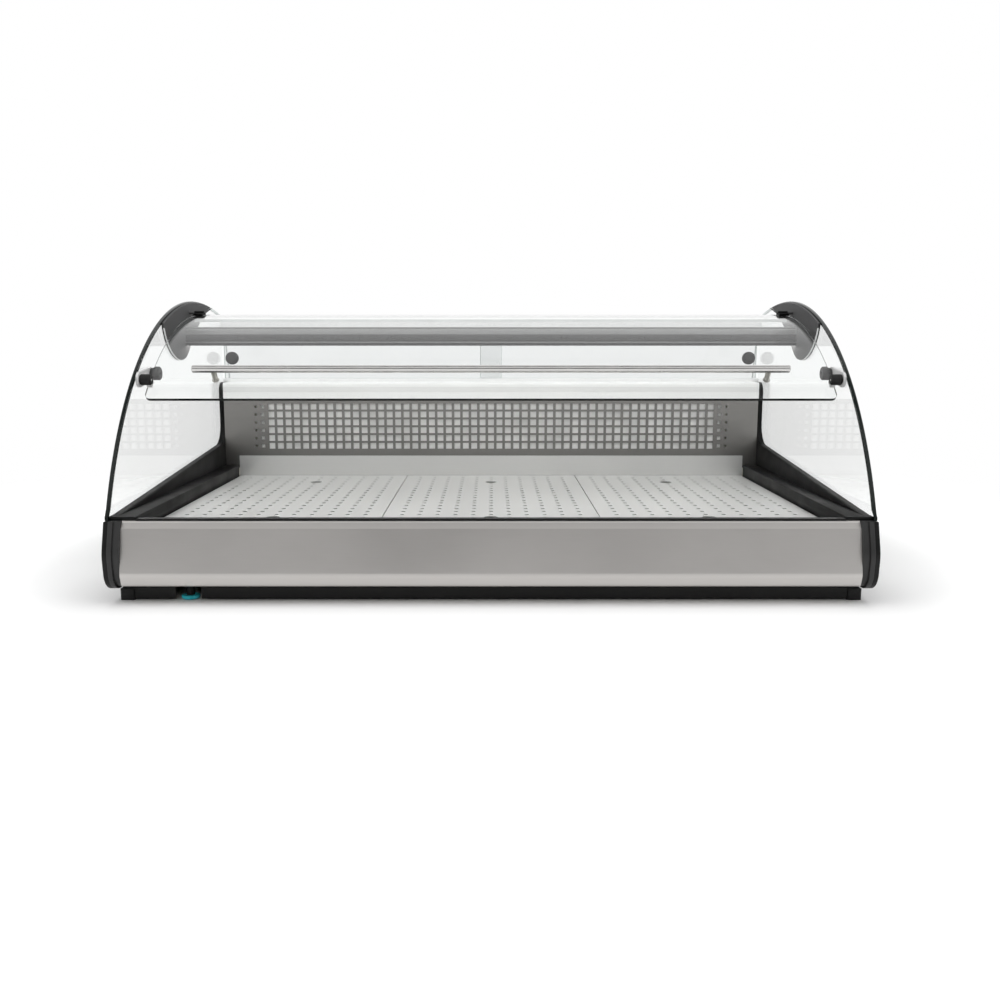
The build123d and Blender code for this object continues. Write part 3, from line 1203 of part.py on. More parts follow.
# Controller: a bezelled box with a display window and two keys that travel.
bezel_y = BACK_Y + CONTROLLER_BEZEL
display_x = CONTROLLER_X + DISPLAY_SHIFT
button_x = CONTROLLER_X + BUTTON_SHIFT
button_zs = {"up_button": CONTROL_Z + BUTTON_PITCH / 2, "down_button": CONTROL_Z - BUTTON_PITCH / 2}
with BuildPart() as controller:
    with BuildSketch(facing_rear(BACK_Y - CONTROLLER_DEPTH)):
        with Locations((CONTROLLER_X, CONTROL_Z)):
            Rectangle(CONTROLLER_L, CONTROLLER_H)
    extrude(amount=-CONTROLLER_DEPTH)
    with BuildSketch(facing_rear(BACK_Y)):
        with Locations((CONTROLLER_X, CONTROL_Z)):
            bezel_l = CONTROLLER_L + 2 * CONTROLLER_RIM
            bezel_h = CONTROLLER_H + 2 * CONTROLLER_RIM
            RectangleRounded(bezel_l, bezel_h, CONTROLLER_RIM)
    extrude(amount=-CONTROLLER_BEZEL)
    with BuildSketch(facing_rear(bezel_y)):
        with Locations((display_x, CONTROL_Z)):
            Rectangle(DISPLAY_L + 2 * REST_GAP, DISPLAY_H + 2 * REST_GAP)
    extrude(amount=DISPLAY_T, mode=Mode.SUBTRACT)
    with BuildSketch(facing_rear(bezel_y)):
        with Locations(*[(button_x, button_z) for button_z in button_zs.values()]):
            Rectangle(BUTTON_L + 2 * REST_GAP, BUTTON_H + 2 * REST_GAP)
    extrude(amount=BUTTON_DEPTH, mode=Mode.SUBTRACT)
write(controller.part, "controller")

with BuildPart() as controller_display:
    with BuildSketch(facing_rear(bezel_y)):
        with Locations((display_x, CONTROL_Z)):
            Rectangle(DISPLAY_L, DISPLAY_H)
    extrude(amount=DISPLAY_T)
write(controller_display.part, "controller_display")

for name, button_z in button_zs.items():
    with BuildPart() as button:
        with BuildSketch(facing_rear(bezel_y + BUTTON_PROUD)):
            with Locations((button_x, button_z)):
                RectangleRounded(BUTTON_L, BUTTON_H, BUTTON_PROUD)
        extrude(amount=BUTTON_DEPTH)
    write(button.part, name)

# Rocker switches: open housings, each with a paddle that tips about a cross pivot.
with BuildPart() as switch_housings:
    for switch_x in SWITCH_XS.values():
        with BuildSketch(facing_rear(BACK_Y - SWITCH_DEPTH)):
            with Locations((switch_x, CONTROL_Z)):
                Rectangle(SWITCH_L, SWITCH_H)
        extrude(amount=-SWITCH_DEPTH)
        with BuildSketch(facing_rear(BACK_Y)):
            with Locations((switch_x, CONTROL_Z)):
                RectangleRounded(SWITCH_L + 2 * SWITCH_RIM, SWITCH_H + 2 * SWITCH_RIM, SWITCH_RIM)
        extrude(amount=-SWITCH_BEZEL)
        with BuildSketch(facing_rear(BACK_Y + SWITCH_BEZEL)):
            with Locations((switch_x, CONTROL_Z)):
                Rectangle(SWITCH_L - 2 * SWITCH_WALL, SWITCH_H - 2 * SWITCH_WALL)
        extrude(amount=SWITCH_DEPTH - SWITCH_WALL, mode=Mode.SUBTRACT)
write(switch_housings.part, "switch_housings")

rocker_w = SWITCH_L - 2 * SWITCH_WALL - 2 * REST_GAP
for name, switch_x in SWITCH_XS.items():
    tilt = radians(ROCKER_TILT)
    pivot_plane = Plane(
        origin=(switch_x - rocker_w / 2, BACK_Y - ROCKER_PIVOT, CONTROL_Z),
        x_dir=(0, cos(tilt), sin(tilt)),
        z_dir=(1, 0, 0),
    )
    with BuildPart() as rocker:
        with BuildSketch(pivot_plane):
            with BuildLine():
                Polyline(
                    (-ROCKER_BACK, -ROCKER_HALF_H),
                    (ROCKER_TIP, -ROCKER_HALF_H),
                    (ROCKER_WAIST, 0),
                    (ROCKER_TIP, ROCKER_HALF_H),
                    (-ROCKER_BACK, ROCKER_HALF_H),
                    close=True,
                )
            make_face()
        extrude(amount=rocker_w)
    write(rocker.part, name)

# Cable gland in the rear panel, through which the mains lead comes in.
with BuildPart() as cable_gland:
    thread = round_section(BACK_IN - GLAND_INSIDE, GLAND_R, (GLAND_X, CONTROL_Z))
    extrude(thread, amount=-GLAND_INSIDE - SHEET)
    with BuildSketch(facing_rear(BACK_Y)):
        with Locations((GLAND_X, CONTROL_Z)):
            RegularPolygon(GLAND_NUT / 2, 6)
    extrude(amount=-GLAND_NUT_T)
    with BuildSketch(facing_rear(BACK_IN - GLAND_NUT_T)):
        with Locations((GLAND_X, CONTROL_Z)):
            RegularPolygon(GLAND_NUT / 2, 6)
    extrude(amount=-GLAND_NUT_T)
    bore = round_section(BACK_IN - GLAND_INSIDE, GLAND_BORE_R, (GLAND_X, CONTROL_Z))
    extrude(bore, amount=-GLAND_INSIDE - SHEET - GLAND_NUT_T, mode=Mode.SUBTRACT)
write(cable_gland.part, "cable_gland")
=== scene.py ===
import bpy
import numpy as np
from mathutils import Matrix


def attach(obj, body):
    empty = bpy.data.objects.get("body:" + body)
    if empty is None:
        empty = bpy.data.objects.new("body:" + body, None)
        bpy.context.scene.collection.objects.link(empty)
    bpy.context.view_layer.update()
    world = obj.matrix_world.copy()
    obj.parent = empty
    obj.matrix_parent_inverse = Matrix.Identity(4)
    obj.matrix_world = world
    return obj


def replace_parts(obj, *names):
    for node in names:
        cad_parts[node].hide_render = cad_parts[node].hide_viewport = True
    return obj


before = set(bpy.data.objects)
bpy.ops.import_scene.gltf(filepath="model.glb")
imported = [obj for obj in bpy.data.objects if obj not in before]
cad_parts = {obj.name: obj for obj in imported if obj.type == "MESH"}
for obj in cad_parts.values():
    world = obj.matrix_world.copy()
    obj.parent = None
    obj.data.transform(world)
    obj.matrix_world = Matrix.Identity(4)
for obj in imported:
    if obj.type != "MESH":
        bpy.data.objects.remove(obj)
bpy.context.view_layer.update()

# Runners and base plate. Two black coated steel runners stand on the counter, and a black
# coated plate, folded down at its front, lies on them and carries the tub and the machine.
NOISE_LOW = 0.3
NOISE_HIGH = 0.7
COAT_SWING = 0.06


def node(tree, kind, sockets=None, **settings):
    """A shader node with its settings and its sockets, each a value or a link."""
    made = tree.nodes.new(kind)
    for key, value in settings.items():
        setattr(made, key, value)
    for key, value in (sockets or {}).items():
        if isinstance(value, bpy.types.NodeSocket):
            tree.links.new(value, made.inputs[key])
        else:
            made.inputs[key].default_value = value
    return made


def speckle(tree, size, stretch=(1, 1, 1), detail=4.0):
    """Noise in Object coordinates, with patches of this size in metres, longer by stretch."""
    place = node(tree, "ShaderNodeTexCoord").outputs["Object"]
    scale = tuple(1 / (size * longer) for longer in stretch)
    spread = node(tree, "ShaderNodeMapping", {"Vector": place, "Scale": scale})
    sockets = {"Vector": spread.outputs["Vector"], "Scale": 1.0, "Detail": detail}
    return node(tree, "ShaderNodeTexNoise", sockets).outputs["Fac"]


def between(tree, noise, low, high):
    """The middle range of a noise, spread evenly from low to high."""
    sockets = {"Value": noise, "From Min": NOISE_LOW, "From Max": NOISE_HIGH, "To Min": low, "To Max": high}
    return node(tree, "ShaderNodeMapRange", sockets).outputs["Result"]


def shades(tree, noise, colour, depth):
    """A colour that a noise makes darker and lighter by the share depth."""
    ramp = node(tree, "ShaderNodeValToRGB", {"Fac": noise})
    places = (NOISE_LOW, NOISE_HIGH)
    for element, place, level in zip(ramp.color_ramp.elements, places, (1 - depth, 1 + depth)):
        element.position = place
        element.color = (*(min(1.0, level * part) for part in colour), 1)
    return ramp.outputs["Color"]


def relief(tree, noise, height):
    """A normal that a noise raises and sinks by this height in metres."""
    sockets = {"Height": noise, "Distance": height, "Strength": 1.0}
    return node(tree, "ShaderNodeBump", sockets).outputs["Normal"]


def surface_of(name):
    """A new material, its tree and its Principled surface."""
    material = bpy.data.materials.new(name)
    material.use_nodes = True
    return material, material.node_tree, material.node_tree.nodes["Principled BSDF"]


def coated(name, colour, rough, shine=0.5, grain=0.0012, height=0.00004, cloud=0.06, depth=0.12):
    """Powder coat, moulded or rubber skin: a fine grain, soft clouds and uneven gloss."""
    material, tree, surface = surface_of(name)
    clouds = speckle(tree, cloud)
    fine = speckle(tree, grain, detail=2.0)
    surface.inputs["Specular IOR Level"].default_value = shine
    tree.links.new(shades(tree, clouds, colour, depth), surface.inputs["Base Color"])
    gloss = between(tree, clouds, rough - COAT_SWING, rough + COAT_SWING)
    tree.links.new(gloss, surface.inputs["Roughness"])
    tree.links.new(relief(tree, fine, height), surface.inputs["Normal"])
    return material


def dress(material, *names):
    """Give carried-over CAD nodes a finish."""
    for name in names:
        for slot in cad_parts[name].material_slots:
            slot.material = material


# Black coat of the runners and plate. On the plate's folded front lip it is also a painted shade for the dark
# under the case.
dress(coated("runner_coat_and_under_shade", (0.008, 0.008, 0.008), rough=0.55, shine=0.25), "base_runners", "base_plate")

# End caps. Moulded plastic shells that close both low sides of the case: a dark grey shell with
# a black outer edge that runs on from the edge of the pane above it.
MM = 0.001
CAP_INNER = 634 * MM
CAP_SEAM = 642 * MM
CAP_OUTER = 650 * MM
CAP_ROLL = 2 * MM
SEAM_ROLL = 0.5 * MM
CAP_MIDDLE = np.array([0, 84]) * MM
FACE_NEAR = 0.01 * MM
SIDES = (("left", -1), ("right", 1))


def outline_of(name, x, centre, skip=None, gap=0.0):
    """Outline of a flat CAD node in its face at x: (Y, Z) points by their angle about centre."""
    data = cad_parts[name].data
    points = np.empty(len(data.vertices) * 3)
    data.vertices.foreach_get("co", points)
    points = points.reshape(-1, 3)
    points = np.unique(points[np.abs(points[:, 0] - x) < FACE_NEAR][:, 1:].round(6), axis=0)
    if skip is not None:
        points = points[np.hypot(*(points - skip).T) > gap]
    away = points - centre
    return points[np.argsort(np.arctan2(away[:, 1], away[:, 0]))]


def along_x(points, depth):
    """Section points (Y, Z) set at a depth along X."""
    return np.column_stack([np.full(len(points), depth), points])


def outward(outline):
    """Unit normals of a closed outline that runs anticlockwise: its chords turned by a right angle."""
    chord = np.roll(outline, -1, axis=0) - np.roll(outline, 1, axis=0)
    chord /= np.linalg.norm(chord, axis=1, keepdims=True)
    return np.column_stack([chord[:, 1], -chord[:, 0]])


def anticlockwise(outline):
    """The outline turned to run anticlockwise: its signed area is the sum of its cross products."""
    after = np.roll(outline, -1, axis=0)
    area = np.sum(outline[:, 0] * after[:, 1] - after[:, 0] * outline[:, 1])
    return outline if area > 0 else outline[::-1]


def edge_steps(start, end, roll_start, roll_end, steps=5, flat=0.0):
    """(inset, depth) pairs across a plate whose edges are rolled by quarter circles. Where flat is
    given, each face starts with a flat border of that width inside its roll."""
    turn = np.linspace(0, np.pi / 2, steps)
    first = np.column_stack([roll_start * (1 - np.sin(turn)), start + roll_start * (1 - np.cos(turn))])
    last = np.column_stack([roll_end * (1 - np.cos(turn)), end - roll_end * (1 - np.sin(turn))])
    pairs = np.concatenate([first if roll_start else first[-1:], last if roll_end else last[:1]])
    if flat:
        pairs = np.concatenate([pairs[:1] + [flat, 0], pairs, pairs[-1:] + [flat, 0]])
    return pairs


def plate_rings(outline, steps, place):
    """Rings of a plate: the outline drawn in by each inset, at each depth."""
    outline = anticlockwise(outline)
    normals = outward(outline)
    return np.array([place(outline - inset * normals, depth) for inset, depth in steps])


def loft(name, rings, body, material, rim=None, rim_columns=None, rest=None, sharp=35):
    """A skin of quads through closed rings, one after the other, its two ends filled flat. A second
    material, rim, goes on the columns named, or on all of them, and a third, rest, on the others."""
    rows, columns = rings.shape[:2]
    row, column = np.meshgrid(np.arange(rows - 1), np.arange(columns), indexing="ij")
    after = (column + 1) % columns
    corners = [row * columns + column, row * columns + after]
    corners += [(row + 1) * columns + after, (row + 1) * columns + column]
    quads = np.stack(corners, axis=-1).reshape(-1, 4)
    first = np.arange(columns)[::-1]
    last = (rows - 1) * columns + np.arange(columns)
    data = bpy.data.meshes.new(name)
    data.from_pydata(rings.reshape(-1, 3), [], [*quads.tolist(), first.tolist(), last.tolist()])
    data.polygons.foreach_set("use_smooth", np.arange(len(quads) + 2) < len(quads))
    data.set_sharp_from_angle(angle=np.radians(sharp))
    for finish in (material, rim, rest):
        if finish is not None:
            data.materials.append(finish)
    if rim is not None:
        index = np.full((rows - 1, columns), 0 if rest is None else 2)
        index[:, slice(None) if rim_columns is None else list(rim_columns)] = 1
        data.polygons.foreach_set("material_index", np.append(index.ravel(), [0, 0]).astype(np.int32))
    piece = bpy.data.objects.new(name, data)
    bpy.context.scene.collection.objects.link(piece)
    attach(piece, body)
    return piece


def between_sides(sign, inner, outer, roll_inner, roll_outer, steps=5, flat=0.0):
    """edge_steps between two distances from the middle, on the left side (-1) or the right (1)."""
    if sign > 0:
        return edge_steps(inner, outer, roll_inner, roll_outer, steps, flat)
    return edge_steps(-outer, -inner, roll_outer, roll_inner, steps, flat)


cap_skin = coated("cap_skin", (0.024, 0.024, 0.024), rough=0.45, shine=0.35, grain=0.0009, height=0.00003)
cap_edge_skin = coated(
    "cap_edge_skin", (0.006, 0.006, 0.006), rough=0.4, shine=0.2, grain=0.0009, height=0.00003,
)
for side, sign in SIDES:
    edge = outline_of(f"{side}_end_cap", sign * CAP_OUTER, CAP_MIDDLE)
    rings = plate_rings(edge, between_sides(sign, CAP_INNER, CAP_SEAM, SEAM_ROLL, SEAM_ROLL), along_x)
    shell = loft(f"{side}_cap_shell", rings, "case", cap_skin)
    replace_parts(shell, f"{side}_end_cap")
    steps = between_sides(sign, CAP_SEAM, CAP_OUTER, SEAM_ROLL, CAP_ROLL, steps=7)
    rings = plate_rings(edge, steps, along_x)
    loft(f"{side}_cap_edge", rings, "case", cap_edge_skin)

# Side mouldings. Black moulded plastic frames inside the caps: a plate down to the base, a flat
# rail with a skirt into the pan, and a lip that rises to an upright under the ledge.
FRONT = -435 * MM
FRAME_INNER = 622 * MM
LIP_INNER = 632 * MM
PANE_INNER = 644 * MM
FRAME_ROLL = 1.5 * MM
RAIL_ROLL = 1.2 * MM
RAIL_END_ROLL = 0.8 * MM
LIP_ROLL = 2.5 * MM
RAIL_RUN = np.array([31, 739.5]) * MM + FRONT
SKIRT_RUN = np.array([46.5, 735.5]) * MM + FRONT
RAIL_CORNERS = np.array([[143, 600], [149, 600], [149, 644], [143, 644]]) * MM
SKIRT_CORNERS = np.array([[114, 600], [145, 600], [145, 603], [114, 603]]) * MM
LIP_CORNERS = np.array([[37, 143], [37, 149], [748, 204], [748, 345], [862, 345], [862, 143]]) * MM
LIP_BENDS = np.array([0.6, 3, 50, 24, 4, 0.6]) * MM


def along_y(points, depth):
    """Section points (Z, X) set at a depth along Y."""
    return np.column_stack([points[:, 1], np.full(len(points), depth), points[:, 0]])


def rounded(corners, radii, steps=9):
    """Path through corners, each cut by an arc of its radius. The arc runs between the points
    that lie radius / tan(half the corner's angle) before and after the corner."""
    runs = []
    for here, radius in enumerate(np.broadcast_to(radii, len(corners))):
        corner = corners[here]
        if radius == 0:
            runs.append(corner[None])
            continue
        back = corners[here - 1] - corner
        ahead = corners[(here + 1) % len(corners)] - corner
        back = back / np.linalg.norm(back)
        ahead = ahead / np.linalg.norm(ahead)
        half = np.arccos(np.clip(back @ ahead, -1, 1)) / 2
        middle = corner + (back + ahead) / np.linalg.norm(back + ahead) * radius / np.sin(half)
        start = corner + back * radius / np.tan(half) - middle
        end = corner + ahead * radius / np.tan(half) - middle
        turn = np.linspace(0, 1, steps)[:, None] * (np.pi - 2 * half)
        reach = np.sin(np.pi - 2 * half)
        runs.append(middle + (np.sin(np.pi - 2 * half - turn) * start + np.sin(turn) * end) / reach)
    return np.concatenate(runs)


moulding_skin = coated(
    "moulding_skin", (0.005, 0.005, 0.005), rough=0.45, shine=0.15, grain=0.0009, height=0.00003,
)
for side, sign in SIDES:
    edge = outline_of(f"{side}_side_moulding", sign * FRAME_INNER, CAP_MIDDLE)
    rings = plate_rings(edge, between_sides(sign, FRAME_INNER, CAP_INNER, FRAME_ROLL, SEAM_ROLL), along_x)
    frame_plate = loft(f"{side}_moulding_plate", rings, "case", cap_skin)
    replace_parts(frame_plate, f"{side}_side_moulding")
    for part, corners, run in (("rail", RAIL_CORNERS, RAIL_RUN), ("skirt", SKIRT_CORNERS, SKIRT_RUN)):
        section = rounded(corners * [1, sign], RAIL_ROLL, steps=5)
        rings = plate_rings(section, edge_steps(*run, RAIL_END_ROLL, RAIL_END_ROLL, steps=3), along_y)
        loft(f"{side}_moulding_{part}", rings, "case", moulding_skin)
    lip = rounded(LIP_CORNERS + [FRONT, 0], LIP_BENDS, steps=13)
    rings = plate_rings(lip, between_sides(sign, LIP_INNER, PANE_INNER, LIP_ROLL, 0), along_x)
    loft(f"{side}_moulding_lip", rings, "case", moulding_skin)

# Front fascia. One stainless sheet with a satin brush along its length, folded at the top,
# creased to a bevel and rolled under at the foot.
SHEET = 1.5 * MM
FASCIA_HALF = 622 * MM
FASCIA_CORNERS = np.array([[43, 143], [30, 143], [27.4, 139.9], [20, 131], [2, 54], [9, 33], [31, 33]]) * MM
FASCIA_BENDS = np.array([0, 3, 0, 2.5, 20, 8, 0]) * MM
FOLD_LOW = 139.5 * MM
FOLD_REAR = 30 * MM
BRUSH_SWING = 0.07


def sheet_section(path, thickness):
    """Closed section of a bent sheet: its path, and the path set off by its thickness to the left."""
    chord = np.gradient(path, axis=0)
    chord /= np.linalg.norm(chord, axis=1, keepdims=True)
    left = np.column_stack([-chord[:, 1], chord[:, 0]])
    return np.concatenate([path, (path + thickness * left)[::-1]])


def brushed(
    name, colour, rough, along=(60, 1, 1), line=0.0006, cloud=0.25, depth=0.05, height=0.000012,
    metal=1.0,
):
    """Brushed sheet metal: long fine lines in gloss, shade and relief, with faint broad clouds. A share
    of metal under 1 gives the milky surface of bead-blasted or anodised sheet."""
    material, tree, surface = surface_of(name)
    lines = speckle(tree, line, along, detail=3.0)
    clouds = speckle(tree, cloud, detail=2.0)
    both = node(tree, "ShaderNodeMath", {0: lines, 1: clouds}, operation="ADD").outputs["Value"]
    mixed = node(tree, "ShaderNodeMath", {0: both, 1: 0.5}, operation="MULTIPLY").outputs["Value"]
    surface.inputs["Metallic"].default_value = metal
    tree.links.new(shades(tree, mixed, colour, depth), surface.inputs["Base Color"])
    gloss = between(tree, mixed, rough - BRUSH_SWING, rough + BRUSH_SWING)
    tree.links.new(gloss, surface.inputs["Roughness"])
    tree.links.new(relief(tree, lines, height), surface.inputs["Normal"])
    return material


fascia_metal = brushed("fascia_metal", (0.56, 0.542, 0.525), rough=0.47)
# Lighter copy of the fascia metal for the top fold: a painted highlight.
fold_highlight_metal = brushed("fold_highlight_metal", (0.74, 0.72, 0.70), rough=0.42)
fascia_path = rounded(FASCIA_CORNERS + [FRONT, 0], FASCIA_BENDS)
fascia_rings = plate_rings(sheet_section(fascia_path, SHEET), [(0, -FASCIA_HALF), (0, FASCIA_HALF)], along_x)
high = fascia_rings[0, :, 2] > FOLD_LOW
fold_highlight_columns = np.flatnonzero(high & np.roll(high, -1) & (fascia_rings[0, :, 1] < FRONT + FOLD_REAR))
fascia = loft("fascia", fascia_rings, "case", fascia_metal, rim=fold_highlight_metal, rim_columns=fold_highlight_columns)
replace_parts(fascia, "front_panel")

# Edge trim. A soft black plastic strip that runs from one side moulding to the other. It is glued on
# the fascia's top fold and covers the front of the pan.
TRIM_HALF = 599.5 * MM
TRIM_CORNERS = np.array([[29, 143], [45.5, 143], [45.5, 146], [29, 146]]) * MM
TRIM_BENDS = np.array([0.3, 0.3, 1.4, 1.4]) * MM
TRIM_ROLL = 0.3 * MM
trim_section = rounded(TRIM_CORNERS + [FRONT, 0], TRIM_BENDS)
trim_steps = edge_steps(-TRIM_HALF, TRIM_HALF, TRIM_ROLL, TRIM_ROLL, steps=3)
trim = loft("edge_trim", plate_rings(trim_section, trim_steps, along_x), "case", moulding_skin)
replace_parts(trim, "front_edge_trim")

# Tub. Pale foam fills the low case, and a welded stainless pan lies in it. Three perforated
# stainless trays stand in the pan, and a flanged pipe with a turquoise cap drains it.
DRAIN = np.array([-522, -373, 0]) * MM
DRAIN_CAP_PROFILE = np.array([
    [0.5, 1], [13.6, 1], [15, 1.5], [15.5, 2.4], [15.5, 6.2], [14.8, 7], [7.3, 7],
]) * MM
ROUND_STEPS = 40


def turned(profile, origin, axis, steps=ROUND_STEPS):
    """Rings of a turned piece: each (radius, along) of the profile swept round the axis."""
    axis = np.array(axis, dtype=float) / np.linalg.norm(axis)
    across = np.cross(axis, [0, 0, 1] if abs(axis[2]) < 0.9 else [1, 0, 0])
    across /= np.linalg.norm(across)
    third = np.cross(axis, across)
    turn = np.linspace(0, 2 * np.pi, steps, endpoint=False)
    circle = np.outer(np.cos(turn), across) + np.outer(np.sin(turn), third)
    profile = np.array(profile)
    return np.array(origin) + profile[:, None, :1] * circle + profile[:, None, 1:] * axis


foam_skin = coated("foam_skin", (0.80, 0.78, 0.70), rough=0.85, grain=0.002, height=0.0002)
pan_metal = brushed("pan_metal", (0.68, 0.68, 0.67), rough=0.38, depth=0.03, height=0.000004, metal=0.7)
tray_metal = brushed(
    "tray_metal", (0.72, 0.72, 0.71), rough=0.42, along=(1, 60, 1), depth=0.03, height=0.000004, metal=0.7,
)
dress(foam_skin, "insulation")
dress(pan_metal, "ice_pan")
dress(tray_metal, "deck_tray_left", "deck_tray_middle", "deck_tray_right")
dress(moulding_skin, "drain_pipe")
turquoise_skin = coated("turquoise_skin", (0.03, 0.52, 0.62), rough=0.3, cloud=0.01)
drain_rings = turned(DRAIN_CAP_PROFILE, DRAIN, (0, 0, 1))
drain_cap = loft("drain_plug", drain_rings, "drain_cap", turquoise_skin)
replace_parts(drain_cap, "drain_cap")

# Side panes. Clear tempered glass 6 mm thick, cut to the bent rim. They stand on the end caps. The ground
# edge and a narrow border are painted nearly black as far back as the ears, a painted shade, then pale,
# painted light.
PANE_OUTER = 650 * MM
PANE_ARRIS = 0.8 * MM
PANE_BORDER = 5 * MM
PANE_SHADED_EDGE_REAR = 262 * MM
PANE_MIDDLE = np.array([100, 300]) * MM
GLASS_IOR = 1.3
SMEAR_SIZE = 120 * MM
TINT_DEPTH = 0.008


def clear(name, tint, smear):
    """Clear glass that lets lamp light through: faint smears in its gloss, a slight tint."""
    material, tree, surface = surface_of(name)
    clouds = speckle(tree, SMEAR_SIZE, detail=5.0)
    surface.inputs["Transmission Weight"].default_value = 1.0
    surface.inputs["IOR"].default_value = GLASS_IOR
    tree.links.new(shades(tree, clouds, tint, TINT_DEPTH), surface.inputs["Base Color"])
    tree.links.new(between(tree, clouds, 0.0, smear), surface.inputs["Roughness"])
    path = node(tree, "ShaderNodeLightPath")
    through = node(tree, "ShaderNodeBsdfTransparent", {"Color": (*tint, 1)})
    sockets = {"Fac": path.outputs["Is Shadow Ray"], 1: surface.outputs["BSDF"], 2: through.outputs["BSDF"]}
    mix = node(tree, "ShaderNodeMixShader", sockets)
    tree.links.new(mix.outputs["Shader"], tree.nodes["Material Output"].inputs["Surface"])
    return material


pane_glass = clear("pane_glass", (0.985, 0.995, 0.99), smear=0.01)
# Glass edge colours: nearly black is a painted shade, pale is painted light.
shaded_edge_glass = coated("shaded_edge_glass", (0.006, 0.009, 0.008), rough=0.15, shine=0.3, grain=0.004, height=0.00001)
lit_edge_glass = coated("lit_edge_glass", (0.70, 0.76, 0.74), rough=0.15, grain=0.004, height=0.00001)
for side, sign in SIDES:
    edge = outline_of(f"{side}_side_glass", sign * PANE_OUTER, PANE_MIDDLE)
    steps = between_sides(sign, PANE_INNER, PANE_OUTER, PANE_ARRIS, PANE_ARRIS, steps=3, flat=PANE_BORDER)
    rings = plate_rings(edge, steps, along_x)
    shaded_columns = np.flatnonzero(rings[0, :, 1] < PANE_SHADED_EDGE_REAR)
    pane = loft(f"{side}_pane", rings, "case", pane_glass, shaded_edge_glass, shaded_columns, lit_edge_glass)
    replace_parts(pane, f"{side}_side_glass")

# Ears. Leaf-shaped dark grey plates, their polished lower edges painted pale as a painted highlight, bonded
# to the panes by black pads under the crown. They hold the canopy bar and the pins that the front pane turns
# on.
CENTRE = np.array([150, -74]) * MM
EAR_RIM = 592 * MM
EAR_INNER = 639 * MM
EAR_SEAM = 641.6 * MM
EAR_ARRIS = 0.8 * MM
EAR_BORDER = 0.3 * MM
EAR_MIDDLE = np.array([90, 476]) * MM
HINGE = np.array([90, 500.146]) * MM
PIN_CLEAR = 4 * MM
ear_skin = coated("ear_skin", (0.078, 0.078, 0.079), rough=0.6, shine=0.2, grain=0.0009, height=0.00003)
ear_edge_highlight_skin = coated("ear_edge_highlight_skin", (0.86, 0.87, 0.87), rough=0.2, grain=0.003, height=0.00001)
for side, sign in SIDES:
    edge = outline_of(f"{side}_ear", sign * EAR_INNER, EAR_MIDDLE, HINGE, PIN_CLEAR)
    steps = between_sides(sign, EAR_INNER, EAR_SEAM, EAR_ARRIS, 0, steps=3, flat=EAR_BORDER)
    rings = plate_rings(edge, steps, along_x)
    # The lower edge columns take the pale edge skin: a painted highlight.
    highlight_columns = np.flatnonzero(np.hypot(*(rings.mean(axis=0)[:, 1:] - CENTRE).T) < EAR_RIM)
    ear = loft(f"{side}_leaf", rings, "case", ear_skin, rim=ear_edge_highlight_skin, rim_columns=highlight_columns)
    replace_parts(ear, f"{side}_ear")
    rings = plate_rings(edge, between_sides(sign, EAR_SEAM, PANE_INNER, 0, 0), along_x)
    loft(f"{side}_leaf_pad", rings, "case", cap_edge_skin)

# Front pane. Clear glass bent to a round arc about the same centre as the rim, with rounded
# lower corners. It lifts on two clips at its rear corners.
BEND_OUTER = 572 * MM
BEND_INNER = 566 * MM
BEND_HALF = 630 * MM
BEND_LOW = np.radians(43.8)
BEND_REAR = np.radians(3.2)
BEND_CORNER = 11 * MM
ARC_STEPS = 97
CORNER_STEPS = 9


def ahead_of_crown(radius, angles):
    """(Y, Z) at centre + radius * (-sin, cos) of each angle ahead of the crown."""
    return CENTRE + radius * np.column_stack([-np.sin(angles), np.cos(angles)])


def bent_section(rear, low, outer, inner, steps=ARC_STEPS):
    """Closed section of a bent plate: the outer arc from rear to low edge and the inner arc back."""
    ahead = np.linspace(rear, low, steps)
    return np.concatenate([ahead_of_crown(outer, ahead), ahead_of_crown(inner, ahead[::-1])])


def pane_ring(x, low, arris=0.0):
    """The front pane's section at x, down to its low edge there, its faces drawn in by the arris."""
    return along_x(bent_section(BEND_REAR, low, BEND_OUTER - arris, BEND_INNER + arris), x)


corner_turn = np.linspace(0, np.pi / 2, CORNER_STEPS)
corner_x = BEND_HALF - PANE_ARRIS - BEND_CORNER * (1 - np.sin(corner_turn))
corner_low = BEND_LOW - BEND_CORNER * (1 - np.cos(corner_turn)) / BEND_OUTER
half_rings = [pane_ring(x, low) for x, low in zip(corner_x, corner_low)]
half_rings = np.array([*half_rings, pane_ring(BEND_HALF, corner_low[-1], PANE_ARRIS)])
bent_rings = np.concatenate([(half_rings * [-1, 1, 1])[::-1], half_rings])
# Its low edge takes the nearly black edge glass, a painted shade.
bent_pane = loft(
    "bent_pane", bent_rings, "front_glass", pane_glass,
    rim=shaded_edge_glass, rim_columns=[ARC_STEPS - 1],
)
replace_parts(bent_pane, "front_glass")

# Lifting handle. A polished stainless bar on two legs of a duller metal, each with a round foot
# glued to the outside of the bent pane.
BAR_RADIUS = 7 * MM
BAR_HALF = 545 * MM
BAR_ROLL = 2.5 * MM
BAR_AHEAD = np.radians(39.1)
BAR_OFF = 28 * MM
LEG_X = 507 * MM
LEG_PROFILE = np.array([
    [0.5, 0.3], [5.8, 0.3], [6.5, 0.8], [6.5, 2.4], [6, 3], [5.2, 3.4], [5, 4.4], [5, 26],
]) * MM


def rod_profile(radius, start, end, roll, steps=5):
    """(radius, along) pairs of a rod with rolled ends, from edge_steps' insets."""
    pairs = edge_steps(start, end, roll, roll, steps)
    return np.column_stack([radius - pairs[:, 0], pairs[:, 1]])


def polished(name, colour, rough, line=0.0005, along=(80, 1, 1)):
    """Polished metal: faint drawn lines in its gloss and broad soft clouds in its shade."""
    return brushed(name, colour, rough, along, line, cloud=0.08, depth=0.06, height=0.000004)


